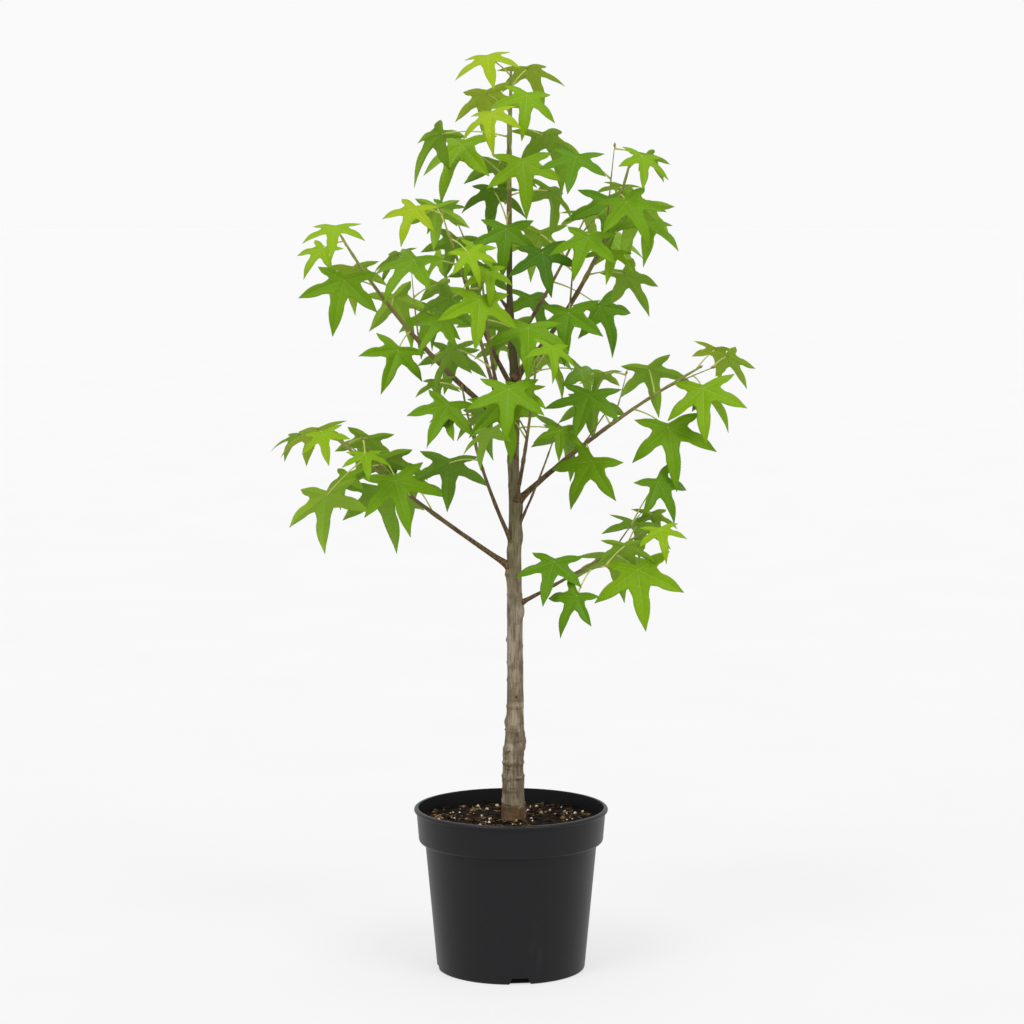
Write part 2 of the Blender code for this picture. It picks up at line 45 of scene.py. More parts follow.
class Wire:
    def __init__(self, shader, socket):
        self.shader = shader
        self.socket = socket

    def sum(self, operation, first, second):
        return self.shader.node("ShaderNodeMath", {"operation": operation}, {0: first, 1: second})

    def __add__(self, other):
        return self.sum("ADD", self, other)

    def __radd__(self, other):
        return self.sum("ADD", other, self)

    def __sub__(self, other):
        return self.sum("SUBTRACT", self, other)

    def __rsub__(self, other):
        return self.sum("SUBTRACT", other, self)

    def __mul__(self, other):
        return self.sum("MULTIPLY", self, other)

    def __rmul__(self, other):
        return self.sum("MULTIPLY", other, self)

    def over(self, low, high):  # 0 below low, 1 above high, smooth between
        ends = {"Value": self, "From Min": low, "From Max": high}
        return self.shader.node("ShaderNodeMapRange", {"interpolation_type": "SMOOTHSTEP"}, ends)


class Shader:
    def __init__(self, name, specular=0.5):
        self.material = bpy.data.materials.new(name)
        self.material.use_nodes = True
        self.tree = self.material.node_tree
        self.surface = self.tree.nodes["Principled BSDF"]
        self.put("Specular IOR Level", specular)

    def node(self, kind, settings=None, inputs=None, output=0):
        made = self.tree.nodes.new(kind)
        for key, value in (settings or {}).items():
            setattr(made, key, value)
        for key, value in (inputs or {}).items():
            self.feed(made.inputs[key], value)
        return Wire(self, made.outputs[output])

    def feed(self, socket, value):
        if isinstance(value, Wire):
            self.tree.links.new(value.socket, socket)
        elif socket.type == "RGBA":
            socket.default_value = (*value, 1.0)
        else:
            socket.default_value = value

    def put(self, name, value):
        self.feed(self.surface.inputs[name], value)

    def place(self, stretch=(1, 1, 1)):  # object coordinates in metres
        where = self.node("ShaderNodeTexCoord", output=3)
        return self.node("ShaderNodeVectorMath", {"operation": "MULTIPLY"}, {0: where, 1: stretch})

    def height(self):
        return self.node("ShaderNodeSeparateXYZ", {}, {0: self.place()}, 2)

    def noise(self, scale, detail=4.0, stretch=(1, 1, 1)):
        inputs = {"Vector": self.place(stretch), "Scale": scale, "Detail": detail}
        return self.node("ShaderNodeTexNoise", {}, inputs)

    def spots(self, scale, stretch=(1, 1, 1)):  # distance to the nearest of scattered points
        return self.node("ShaderNodeTexVoronoi", {}, {"Vector": self.place(stretch), "Scale": scale})

    def mix(self, first, second, share):
        settings = {"data_type": "RGBA"}
        return self.node("ShaderNodeMix", settings, {0: share, 6: first, 7: second}, 2)

    def skin(self, colour, roughness, height, relief):  # all that changes over the surface
        self.put("Base Color", colour)
        self.put("Roughness", roughness)
        inputs = {"Height": height, "Distance": relief}
        self.put("Normal", self.node("ShaderNodeBump", {}, inputs))
        return self.material


# mesh helpers

def addObject(name, data):
    thing = bpy.data.objects.new(name, data)
    bpy.context.scene.collection.objects.link(thing)
    return thing


def addPiece(name, mesh, slot, *nodes):
    piece = addObject(name, mesh)
    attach(piece, "root")
    if nodes:
        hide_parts(*nodes)
    return piece


class Bag:  # points and faces of many small shapes, joined into one mesh
    def __init__(self):
        self.points = []
        self.faces = []
        self.slots = []

    def add(self, shape, slot=0):
        points, faces = shape
        start = len(self.points)
        self.points += points
        self.faces += [tuple(start + v for v in face) for face in faces]
        self.slots += [slot] * len(faces)

    def mesh(self, name, materials, smooth=True):
        mesh = bpy.data.meshes.new(name)
        mesh.from_pydata([tuple(p) for p in self.points], [], self.faces)
        for material in materials:
            mesh.materials.append(material)
        mesh.polygons.foreach_set("material_index", self.slots)
        mesh.polygons.foreach_set("use_smooth", [smooth] * len(self.faces))
        mesh.update()
        return mesh


def meshOf(shape, name, materials, smooth=True):
    bag = Bag()
    bag.add(shape)
    return bag.mesh(name, materials, smooth)


def hump(away, half=1.0):  # 1 in the middle, falling smoothly to 0
    return math.exp(-((away / half) ** 2))


def evenShares(start, end, pieces):
    return [start + (end - start) * k / pieces for k in range(pieces + 1)]


def turns(sides):  # the angles of a ring's points
    return [math.tau * k / sides for k in range(sides)]


def wobble(place, scale, seed=0.0):  # smooth noise from about -1 to 1
    return noise.noise(Vector(place) * scale + Vector((seed, seed * 0.7, -seed)))


def turnedShape(profile, sides):  # a closed ring of (radius, height) turned round the axis
    points, rings, faces = [], [], []
    for radius, height in profile:
        count = sides if radius else 1
        rings.append([len(points) + k for k in range(count)])
        for k in range(count):
            turn = math.tau * k / sides
            points.append(Vector((radius * math.cos(turn), radius * math.sin(turn), height)))
    for a, b in zip(rings, rings[1:] + rings[:1]):
        for k in range(sides if len(a) + len(b) > 2 else 0):
            after = (k + 1) % sides
            corners = [a[k % len(a)], a[after % len(a)], b[after % len(b)], b[k % len(b)]]
            faces.append(tuple(dict.fromkeys(corners)))
    return points, faces


def smoothPoint(path, share):  # a point on the even curve through the path's points
    last = len(path) - 1
    x = min(max(share, 0.0), 1.0) * last
    i = min(int(x), last - 1)
    f = x - i
    a, b, c, d = path[max(i - 1, 0)], path[i], path[i + 1], path[min(i + 2, last)]
    bend = (2 * a - 5 * b + 4 * c - d) * f**2 + (3 * b - a - 3 * c + d) * f**3
    return 0.5 * (2 * b + (c - a) * f + bend)


# How the tree grows: the rule that the solids grew by, written again, so that each leaf stands
# where its coarse one does. A pair of numbers is the range that the seeded rule picks from.
growth = {
    "gap": 0.0003,
    "limbWidth": 0.0245,  # a bough's thickness at the trunk, of its length with its leafy shoot
    "limbSides": 7,
    "stemSides": 6,
    "stemPieces": 8,
    "boughPieces": 7,
    "collarSwell": 0.35,  # of a bough's radius, where it leaves the trunk
    "collarLength": 0.012,
    "curveSteps": 14,
    "tipShare": 0.35,  # radius at a shoot's tip over the radius at its root
    "twigRadius": 0.0013,
    "twigSides": 5,
    "twigSteps": 6,
    "twigStart": 0.05,  # twigs leave the shoot from here
    "twigSpan": 0.75,  # over this share of it
    "twigBare": 0.3,  # share of a twig below its leaves
    "twigLeaves": 2,
    "twigLeafScale": 0.9,
    "seedStep": 1000,  # from one mass's seeds to the next
    "shootSeed": 100,  # from one shoot's leaf seeds to the next
    "twigSeed": 90,
    "twigStray": (0.1, 0.9),  # a twig's place in its share of the shoot
    "twigSplay": (30, 60),  # between a twig and its shoot, seen from above
    "twigClimb": (-10, 20),  # a twig's rise over its shoot's
    "twigLift": (-20, 15),
    "twigLength": (0.3, 0.55),  # of its shoot's length
    "leaderTwigRise": (20, 50),
    "goldenAngle": 137.5,  # between one leaf of the leader and the next
    "leaderStray": (-25, 25),
    "spread": 80,  # between a shoot and its lowest stalks, seen from above
    "spreadFall": 0.4,  # of it, that is gone at the shoot's tip
    "stalkStray": (-30, 30),
    "stalkRise": (-30, 40),
    "stalkLength": 0.080,
    "stalkCurve": (1.05, -0.55, 0),  # stalk length from the shoot's foot to its tip, as a + bu + cuu
    "stalkRange": (0.7, 1.15),
    "stalkBow": 0.06,  # how far a stalk arches up, of its length
    "stalkRadius": 0.0009,
    "stalkEndRadius": 0.0006,
    "stalkSides": 3,
    "bladeLength": 0.090,  # along the middle lobe
    "bladeCurve": (0.85, 0.75, -1.05),
    "bladeRange": (0.8, 1.08),
    "leafPlace": 0.7,  # where a leaf stands in its share of the shoot
    "leafCrowding": 0.85,  # under 1, leaves crowd towards the shoot's tip
    "lightTurn": 0.5,  # how far a blade turns from its stalk's heading to the open side
    "bladeStray": (-30, 30),
    "hang": 55,  # a blade's middle lobe below level
    "hangCurve": (1, 0, -0.3),
    "hangStray": (-15, 15),
    "roll": (-25, 25),
    "tries": 8,  # a leaf that would touch something is turned this often, and then left out
    "tryHeading": (-30, 30),
    "tryRise": (-15, 15),
    "tryStalk": (0.85, 1.15),
    "tryFacing": (-20, 20),
    "massReach": 0.24,  # from the middle of a mass's shoot to its furthest leaf tip
}

# The trunk: height above the floor, sideways lean and radius. Most rows are rounded from what a
# program measured.
trunkRows = (
    (0.2045, 0.004, 0.0178), (0.218, 0.0035, 0.0157), (0.262, 0.002, 0.0144),
    (0.326, 0.005, 0.0127), (0.374, 0.006, 0.0112), (0.551, 0.0045, 0.0097),
    (0.631, 0.006, 0.0084), (0.706, 0.0025, 0.0077), (0.780, 0.0065, 0.0065),
    (0.848, 0.0025, 0.0056), (0.915, -0.002, 0.0041), (1.115, -0.0025, 0.0031),
    (1.182, -0.0005, 0.0025), (1.2185, 0.0, 0.0016),
)
trunkTip = 0.990  # the woody trunk ends here, and the leader grows on
trunkSides = 12

# Boughs and their masses of leaves. root: height on the trunk. azimuth, rise: where the bough heads
# as it leaves the trunk. lift: its turn up to the tip. limb: bare length. shoot: leafy length.
# leaves: on the shoot itself. The leader has no bough, and its azimuth is that of its lowest leaf.
# Many of these numbers, though not the seeds, are rounded from a program's search or curve fit.
massColumns = ("root", "azimuth", "rise", "lift", "limb", "shoot", "leaves", "twigs", "seed")
massRows = {
    "low_left": (0.55, 185, 34, 6, 0.1, 0.215, 6, 3, 10),
    "low_right": (0.5, -10, 28, 6, 0.05, 0.17, 5, 2, 13),
    "mid_right": (0.64, 12, 42, -14, 0.09, 0.23, 6, 3, 6),
    "mid_left": (0.74, 166, 36, 22, 0.11, 0.25, 6, 2, 12),
    "high_right": (0.81, -25, 45, 30, 0.09, 0.25, 6, 3, 3),
    "leader": (0.99, 120, 90, 0, 0.0, 0.2285, 12, 1, 16),
    "fork_right": (0.6, -35, 60, 10, 0.06, 0.11, 3, 0, 1),
    "low_front": (0.64, -80, 42, 20, 0.09, 0.17, 4, 1, 2),
    "low_side": (0.58, -140, 58, 20, 0.09, 0.16, 3, 1, 3),
    "low_back": (0.62, 88, 50, 15, 0.1, 0.19, 4, 1, 4),
    "mid_front": (0.7, -108, 50, 25, 0.11, 0.18, 4, 1, 5),
    "mid_back": (0.72, 112, 42, 20, 0.1, 0.2, 4, 1, 6),
    "upper_front": (0.79, -120, 42, 20, 0.1, 0.18, 4, 1, 7),
    "upper_back": (0.85, 55, 40, 10, 0.09, 0.17, 4, 1, 8),
    "high_left": (0.9, 178, 50, 20, 0.03, 0.12, 4, 0, 9),
}
masses = {name: dict(zip(massColumns, row)) for name, row in massRows.items()}

coarseLeaf = {
    "lobes": ((-114.0, 0.60), (-60.0, 0.84), (0.0, 1.0), (60.0, 0.84), (114.0, 0.60)),
    "width": 0.25,
    "shoulder": 0.58,  # where along a lobe it is widest
    "shortLobe": 0.12,  # a lobe shorter than one less this is narrower
    "outerSinus": 0.28,
    "innerSinus": 0.35,
    "baseNotch": 0.08,
    "middle": 0.08,  # from the stalk to where the blade is thickest
    "thickness": 0.028,  # of its length, there
    "bend": 0.16,  # how far the lobes curve down, of the length squared
}


def camel(name):
    first, *rest = name.split("_")
    return first + "".join(word.capitalize() for word in rest)


def direction(azimuth, rise):
    a, e = math.radians(azimuth), math.radians(rise)
    return Vector((math.cos(e) * math.cos(a), math.cos(e) * math.sin(a), math.sin(e)))


def tubeFaces(rings, sides):  # a tube's skin and its two ends
    faces = []
    for i in range(rings - 1):
        for k in range(sides):
            after = (k + 1) % sides
            low, high = i * sides, (i + 1) * sides
            faces.append((low + k, low + after, high + after, high + k))
    faces.append(tuple(reversed(range(sides))))
    faces.append(tuple(range((rings - 1) * sides, rings * sides)))
    return faces


def tubeShape(path, radii, sides, level=False):
    across = (path[1] - path[0]).orthogonal().normalized()
    before = (path[1] - path[0]).normalized()
    if level:
        across, before = Vector((1, 0, 0)), Vector((0, 0, 1))
    points = []
    for i, centre in enumerate(path):
        along = (path[min(i + 1, len(path) - 1)] - path[max(i - 1, 0)]).normalized()
        if level:
            along = Vector((0, 0, 1))
        across = before.rotation_difference(along) @ across
        before = along
        other = along.cross(across)
        for turn in turns(sides):
            points.append(centre + radii[i] * (math.cos(turn) * across + math.sin(turn) * other))
    return points, tubeFaces(len(path), sides)


def spindle(start, reach, width, shape, sides):  # shape: places along it, and how fat it is there
    path = [start + reach * place for place, _ in shape]
    return tubeShape(path, [width * fat for _, fat in shape], sides)


def trunkAt(height):
    for (z0, x0, r0), (z1, x1, r1) in zip(trunkRows, trunkRows[1:]):
        if height <= z1:
            break
    share = min(1.0, max(0.0, (height - z0) / (z1 - z0)))
    return Vector((x0 + (x1 - x0) * share, 0, height)), r0 + (r1 - r0) * share


def curvePath(start, azimuth, rise, lift, length, steps):
    path = [start.copy()]
    for i in range(steps):
        step = direction(azimuth, rise + lift * (i + 0.5) / steps) * (length / steps)
        path.append(path[-1] + step)
    return path


def pathPoint(path, share):
    x = share * (len(path) - 1)
    i = min(int(x), len(path) - 2)
    return path[i].lerp(path[i + 1], x - i)


def pathPart(path, start, end, pieces):
    return [pathPoint(path, share) for share in evenShares(start, end, pieces)]


def lobeAxes(turn):  # along a lobe and across it, in the flat blade
    return Vector((math.sin(turn), math.cos(turn))), Vector((math.cos(turn), -math.sin(turn)))


def sinusDepth(look, k):  # of the notch after the lobe of this number
    return look["innerSinus" if k in (1, 2) else "outerSinus"]


def leafOutline():
    edge = []
    for k, (heading, length) in enumerate(coarseLeaf["lobes"]):
        along, across = lobeAxes(math.radians(heading))
        half = coarseLeaf["width"] / 2 * min(1.0, length + coarseLeaf["shortLobe"])
        shoulder = along * length * coarseLeaf["shoulder"]
        edge += [shoulder - across * half, along * length, shoulder + across * half]
        if k < len(coarseLeaf["lobes"]) - 1:
            middle = math.radians((heading + coarseLeaf["lobes"][k + 1][0]) / 2)
            edge.append(lobeAxes(middle)[0] * sinusDepth(coarseLeaf, k))
    edge.append(Vector((0, -coarseLeaf["baseNotch"])))
    return edge


def leafShape(leaf, outline):
    size = leaf["size"]
    half = leaf["normal"] * (size * coarseLeaf["thickness"] / 2)
    middle = leaf["base"] + leaf["along"] * (size * coarseLeaf["middle"])
    points = [middle + half, middle - half]
    for edge in outline:
        bend = -coarseLeaf["bend"] * edge.length_squared
        offset = edge.y * leaf["along"] + edge.x * leaf["across"] + bend * leaf["normal"]
        points.append(leaf["base"] + size * offset)
    count = len(outline)
    faces = []
    for k in range(count):
        a, b = 2 + k, 2 + (k + 1) % count
        faces += [(0, a, b), (1, b, a)]
    return points, faces


def stalkShape(leaf):
    path = [leaf["node"], leaf["node"].lerp(leaf["base"], 0.5), leaf["base"]]
    path[1].z += leaf["bow"]
    radii = [growth["stalkRadius"], growth["stalkRadius"], growth["stalkEndRadius"]]
    return tubeShape(path, radii, growth["stalkSides"])


def pick(rule, name):  # a draw from one of the rule's ranges
    return rule.uniform(*growth[name])


def taper(share):  # of a limb's radius, along it
    return 1 - (1 - growth["tipShare"]) * share


def isLeader(mass):
    return mass["limb"] == 0


def alongShoot(curve, u):
    return curve[0] + curve[1] * u + curve[2] * u * u


def mainPath(mass):
    total, steps = mass["limb"] + mass["shoot"], growth["curveSteps"]
    if isLeader(mass):
        return [trunkAt(mass["root"] + total * k / steps)[0] for k in range(steps + 1)]
    start = trunkAt(mass["root"])[0]
    return curvePath(start, mass["azimuth"], mass["rise"], mass["lift"], total, steps)


def shootsOf(mass):
    path = mainPath(mass)
    first = mass["limb"] / (mass["limb"] + mass["shoot"])
    shoots = [(path, first, mass["azimuth"], mass["leaves"], 1.0)]
    for k in range(mass["twigs"]):
        rule = random.Random(mass["seed"] * growth["seedStep"] + growth["twigSeed"] + k)
        share = (k + pick(rule, "twigStray")) / mass["twigs"]
        place = growth["twigStart"] + growth["twigSpan"] * share
        s = first + (1 - first) * place
        if isLeader(mass):
            azimuth = rule.uniform(0, 360)
            rise = pick(rule, "leaderTwigRise")
        else:
            side = 1 if k % 2 else -1
            azimuth = mass["azimuth"] + side * pick(rule, "twigSplay")
            rise = mass["rise"] + mass["lift"] * s + pick(rule, "twigClimb")
        lift = pick(rule, "twigLift")
        length = mass["shoot"] * pick(rule, "twigLength")
        twig = curvePath(pathPoint(path, s), azimuth, rise, lift, length, growth["twigSteps"])
        shoots.append((twig, growth["twigBare"], azimuth, growth["twigLeaves"], growth["twigLeafScale"]))
    return shoots


def leafOf(mass, shoot, number, i, change):
    path, first, heading, count, scale = shoot
    rule = random.Random(mass["seed"] * growth["seedStep"] + number * growth["shootSeed"] + i)
    u = (i + growth["leafPlace"]) / count
    node = pathPoint(path, first + (1 - first) * u**growth["leafCrowding"])
    if isLeader(mass):
        azimuth = mass["azimuth"] + growth["goldenAngle"] * i + pick(rule, "leaderStray")
    else:
        side = 1 if i % 2 else -1
        spread = growth["spread"] * (1 - growth["spreadFall"] * u)
        azimuth = heading + side * spread + pick(rule, "stalkStray")
    rise = pick(rule, "stalkRise")
    stalk = growth["stalkLength"] * alongShoot(growth["stalkCurve"], u) * pick(rule, "stalkRange")
    size = growth["bladeLength"] * scale * alongShoot(growth["bladeCurve"], u)
    size *= pick(rule, "bladeRange")
    openSide = -90 if math.sin(math.radians(azimuth)) < 0 else 90
    turn = (openSide - azimuth + 180) % 360 - 180
    facing = azimuth + growth["lightTurn"] * turn + pick(rule, "bladeStray")
    hang = growth["hang"] * alongShoot(growth["hangCurve"], u) + pick(rule, "hangStray")
    roll = math.radians(pick(rule, "roll"))
    for _ in range(change):
        azimuth += pick(rule, "tryHeading")
        rise += pick(rule, "tryRise")
        stalk *= pick(rule, "tryStalk")
        facing += pick(rule, "tryFacing")
    along = direction(facing, -hang)
    normal = direction(facing, 90 - hang)
    across = along.cross(normal)
    return {
        "node": node,
        "base": node + direction(azimuth, rise) * stalk,
        "along": along * math.cos(roll) + across * math.sin(roll),
        "across": across * math.cos(roll) - along * math.sin(roll),
        "normal": normal,
        "size": size,
        "bow": stalk * growth["stalkBow"],
        "u": u,
    }


def bvhOf(shapes):
    points, faces = [], []
    for shapePoints, shapeFaces in shapes:
        start = len(points)
        points += shapePoints
        faces += [tuple(start + v for v in face) for face in shapeFaces]
    return BVHTree.FromPolygons(points, faces)


def limbRadii(mass, start, end, pieces):
    total = mass["limb"] + mass["shoot"]
    radii = []
    for s in evenShares(start, end, pieces):
        collar = 1 + growth["collarSwell"] * math.exp(-s * total / growth["collarLength"])
        radii.append(total * growth["limbWidth"] / 2 * taper(s) * collar)
    return radii


def boughShape(mass):
    total = mass["limb"] + mass["shoot"]
    end = (mass["limb"] - growth["gap"] / 2) / total
    path = pathPart(mainPath(mass), 0, end, growth["boughPieces"])
    return tubeShape(path, limbRadii(mass, 0, end, growth["boughPieces"]), growth["limbSides"])


def stemShape(mass):
    total = mass["limb"] + mass["shoot"]
    start = (mass["limb"] + growth["gap"] / 2) / total
    path = pathPart(mainPath(mass), start, 1, growth["stemPieces"])
    if isLeader(mass):
        path[0].z = trunkTip + growth["gap"]
        radii = [trunkAt(point.z)[1] for point in path]
    else:
        radii = limbRadii(mass, start, 1, growth["stemPieces"])
    return tubeShape(path, radii, growth["stemSides"], level=isLeader(mass))


def twigShape(shoot):
    path = shoot[0]
    ends = len(path) - 1
    radii = [growth["twigRadius"] * (1 - (1 - growth["tipShare"]) * k / ends) for k in range(ends + 1)]
    return tubeShape(path, radii, growth["twigSides"])


def coarseWood():  # all that a leaf must keep clear of
    gap = growth["gap"]
    foot = trunkRows[0][0]
    heights = [foot] + [row[0] for row in trunkRows[1:] if row[0] < trunkTip] + [trunkTip + gap]
    path = [trunkAt(z)[0].xy.to_3d() + Vector((0, 0, z)) for z in heights]
    wood = [tubeShape(path, [trunkAt(z)[1] + gap for z in heights], trunkSides, level=True)]
    for mass in masses.values():
        wood.append(stemShape(mass))
        wood += [twigShape(shoot) for shoot in shootsOf(mass)[1:]]
        if not isLeader(mass):
            wood.append(boughShape(mass))
    return bvhOf(wood)


def growLeaves():  # the leaves of every mass that keep clear of wood and of other leaves
    outline, wood = leafOutline(), coarseWood()
    sides = growth["stalkSides"]
    placed, grown = [], {}
    for name, mass in masses.items():
        grown[name] = []
        shoots = shootsOf(mass)
        middle = pathPoint(shoots[0][0], (1 + shoots[0][1]) / 2)
        for number, shoot in enumerate(shoots):
            for i in range(shoot[3]):
                for change in range(growth["tries"]):
                    leaf = leafOf(mass, shoot, number, i, change)
                    blade, stalk = leafShape(leaf, outline), stalkShape(leaf)
                    ends = stalk[1][sides:-2] + [stalk[1][-1]]
                    free = stalk[0][sides:], [tuple(v - sides for v in face) for face in ends]
                    tree = bvhOf([blade, free])
                    if max((point - middle).length for point in blade[0]) > growth["massReach"]:
                        continue
                    if tree.overlap(wood) or any(tree.overlap(other) for other in placed):
                        continue
                    placed.append(tree)
                    leaf["shoot"] = number
                    leaf["place"] = shoot[1] + (1 - shoot[1]) * leaf["u"] ** growth["leafCrowding"]
                    grown[name].append(leaf)
                    break
    return grown


grown = growLeaves()
print("grown", sum(len(leaves) for leaves in grown.values()), "leaves")


# the leaves as seen: five lobes with toothed edges and paler veins. Sizes are of a blade's length
bladeLook = {
    "variants": 6,
    "headingStray": 4.0,
    "lengthStray": 0.05,
    "sinusStray": 0.08,
    "innerSinus": 0.350,
    "outerSinus": 0.290,
    "edge": (  # from the sinus to the tip: place, and swell beside a lobe and beside the stalk
        (0.20, -0.012, 0.020), (0.40, 0.025, 0.052), (0.65, 0.036, 0.052), (0.87, 0.013, 0.019),
    ),
    "sinusPlace": 0.30,  # share of a lobe that is joined to the next one
    "slant": 0.32,  # how far the side veins lean forward
    "places": (0.0, 0.10, 0.42, 0.54, 0.66, 0.78, 0.90, 0.955, 1.0),  # of the points along a lobe
    "veins": (0.20, 0.36, 0.48, 0.60, 0.72, 0.84),
    "veinHalf": 0.0030,
    "rib": 0.0075,
    "ribFall": 0.70,
    "columns": (0.36, 0.70, 1.0),
    "tooth": 0.008,
    "quilt": 0.009,
    "thickness": 0.0035,
    "bend": (0.11, 0.20),
    "leaderBend": (0.20, 0.36),
    "fold": (0.15, 0.42),
    "curl": (-0.10, 0.80),  # of the lobe tips, downwards
    "curlFrom": 0.50,
    "wave": (0.010, 0.030),
    "reach": 0.98,
    "leaderReach": 1.07,
    "innerReach": 0.80,  # of the same, for leaves close to the trunk
}

# plain base colours, dealt out leaf by leaf: upper face, lower face, side veins and ribs. The lower face
# is paler, and lighter still as painted light shining through the blade
leafTints = {
    "deepGreen": (
        (0.046, 0.122, 0.002), (0.116, 0.232, 0.016), (0.066, 0.152, 0.003), (0.090, 0.182, 0.018),
    ),
    "midGreen": (
        (0.078, 0.180, 0.002), (0.152, 0.284, 0.020), (0.102, 0.214, 0.004), (0.136, 0.250, 0.024),
    ),
    "leafGreen": (
        (0.112, 0.230, 0.002), (0.190, 0.332, 0.024), (0.140, 0.268, 0.005), (0.176, 0.302, 0.028),
    ),
    "freshGreen": (
        (0.144, 0.270, 0.002), (0.228, 0.378, 0.028), (0.176, 0.312, 0.007), (0.214, 0.345, 0.032),
    ),
    "limeGreen": (
        (0.178, 0.302, 0.002), (0.268, 0.416, 0.030), (0.214, 0.350, 0.009), (0.252, 0.380, 0.038),
    ),
    "youngGold": (
        (0.228, 0.326, 0.003), (0.320, 0.438, 0.032), (0.268, 0.374, 0.014), (0.304, 0.406, 0.045),
    ),
}
leafSides = (("Upper", 0.40), ("Lower", 0.62), ("Vein", 0.48), ("Rib", 0.50))
tintRule = {
    "far": 0.27,  # from the trunk to the outermost shoots, whose leaves are young and light; leaves further in are darker, partly as painted shade inside the crown
    "high": 0.98,  # the same upwards, from here over this much
    "over": 0.22,
    "base": 0.11,
    "out": 0.29,
    "tip": 0.46,
    "stray": 0.10,
    "seed": 5,
}


def leafMaterials(tint):
    made = []
    for (side, gloss), colour in zip(leafSides, leafTints[tint]):
        shader = Shader(tint + side, 0.10)
        fine = shader.noise(900.0)
        roughness = gloss - 0.06 + fine * 0.14
        made.append(shader.skin(colour, roughness, fine + shader.noise(160.0, 2.0) * 1.5, 0.00010))
    return made


def leafRows():  # places along a lobe, and the ones where a side vein starts
    places = {bladeLook["sinusPlace"], *bladeLook["places"]}
    starts = {vein - bladeLook["veinHalf"] for vein in bladeLook["veins"]}
    ends = {vein + bladeLook["veinHalf"] for vein in bladeLook["veins"]}
    return sorted(places | starts | ends), starts


def leafTemplate(seed):  # a flat blade: points as (across, along, off the midrib, lift), and faces
    look, rule = bladeLook, random.Random(seed)
    lobes = []
    for heading, length in coarseLeaf["lobes"]:
        turn = math.radians(heading + rule.uniform(-1, 1) * look["headingStray"])
        lobes.append((turn, length * (1 + rule.uniform(-1, 1) * look["lengthStray"])))
    notch = Vector((0, -coarseLeaf["baseNotch"]))
    sinuses = [notch]
    for k in range(len(lobes) - 1):
        middle = (lobes[k][0] + lobes[k + 1][0]) / 2
        depth = sinusDepth(look, k) * (1 + rule.uniform(-1, 1) * look["sinusStray"])
        sinuses.append(lobeAxes(middle)[0] * depth)
    sinuses.append(notch)
    places, starts = leafRows()
    points, index, faces, slots = [], {}, [], []

    def corner(place, off, lift=0.0):
        key = (round(place.x, 5), round(place.y, 5))
        if key not in index:
            index[key] = len(points)
            points.append((place.x, place.y, off, lift))
        return index[key]

    for k, (turn, length) in enumerate(lobes):
        along, across = lobeAxes(turn)
        width = min(1.0, length + coarseLeaf["shortLobe"])
        for side, sinus in ((-1, sinuses[k]), (1, sinuses[k + 1])):
            edge = [sinus]
            for share, beside, atBase in look["edge"]:
                swell = (atBase if sinus is notch else beside) * width
                edge.append(sinus.lerp(along * length, share) + across * side * swell)
            edge.append(along * length)
            rows = []
            for t in places:
                middle = along * length * (t - look["slant"] * t * (1 - t))
                margin = sinus * (t / look["sinusPlace"])
                if t > look["sinusPlace"]:
                    margin = smoothPoint(edge, (t - look["sinusPlace"]) / (1 - look["sinusPlace"]))
                reach = (margin - middle).length
                rib = look["rib"] * (1 - look["ribFall"] * t)
                first = min(0.4, rib / reach) if reach > 1e-6 else 0.4
                between = not any(abs(t - vein) < 0.01 for vein in look["veins"])
                row = []
                for share in (0.0, *(first + (1 - first) * c for c in (0.0, *look["columns"]))):
                    place = middle.lerp(margin, share)
                    puff = look["quilt"] * between * math.sin(math.pi * share) * reach * 8
                    row.append(corner(place, abs(place.dot(across)), puff))
                rows.append((t, row, margin))
            for (t0, low, start), (t1, high, end) in zip(rows, rows[1:]):
                for j in range(len(low) - 1):
                    loop = [low[j], low[j + 1], high[j + 1], high[j]]
                    if j == len(low) - 2 and t0 >= look["sinusPlace"] and t1 - t0 > 0.03:
                        out = Vector((end.y - start.y, start.x - end.x)).normalized() * side
                        for n, (share, push) in enumerate(((0.40, 1), (0.50, 0), (0.90, 1))):
                            place = start.lerp(end, share) + out * look["tooth"] * push
                            loop.insert(2 + n, corner(place, abs(place.dot(across))))
                    loop = list(dict.fromkeys(loop))
                    if len(loop) < 3:
                        continue
                    faces.append(tuple(loop if side > 0 else reversed(loop)))
                    vein = t0 in starts and j < len(low) - 2
                    slots.append(3 if j == 0 else 2 if vein else 0)
    edges = {(face[n - 1], face[n]) for face in faces for n in range(len(face))}
    rim = [(a, b) for a, b in sorted(edges) if (b, a) not in edges]
    count = len(points)
    under = [tuple(count + v for v in reversed(face)) for face in faces]
    sides = [(b, a, count + a, count + b) for a, b in rim]
    return {
        "grid": np.array(points),
        "faces": faces + under + sides,
        "slots": slots + [slot or 1 for slot in slots] + [1] * len(sides),
    }


def bladeShape(leaf, template, rule, bend, reach):  # bent, folded along its ribs and waved
    look = bladeLook
    x, y, off, lift = template["grid"].T
    r = np.hypot(x, y)
    tip = np.clip(r - look["curlFrom"], 0, None)
    phase = rule.uniform(0, math.tau)
    wave = rule.uniform(*look["wave"]) * r * np.sin(7 * x + phase) * np.sin(6 * y + 1.7 * phase)
    z = lift - rule.uniform(*bend) * r**2 + rule.uniform(*look["fold"]) * off
    z = z - rule.uniform(*look["curl"]) * tip**2 + wave
    axes = np.array([leaf["across"], leaf["along"], leaf["normal"]])
    flat = np.stack([x, y, z], axis=1) @ axes * (leaf["size"] * reach)
    half = np.array(leaf["normal"]) * (leaf["size"] * look["thickness"] / 2)
    skins = np.concatenate([flat + half, flat - half]) + np.array(leaf["base"])
    return [tuple(point) for point in skins.tolist()], template["faces"]


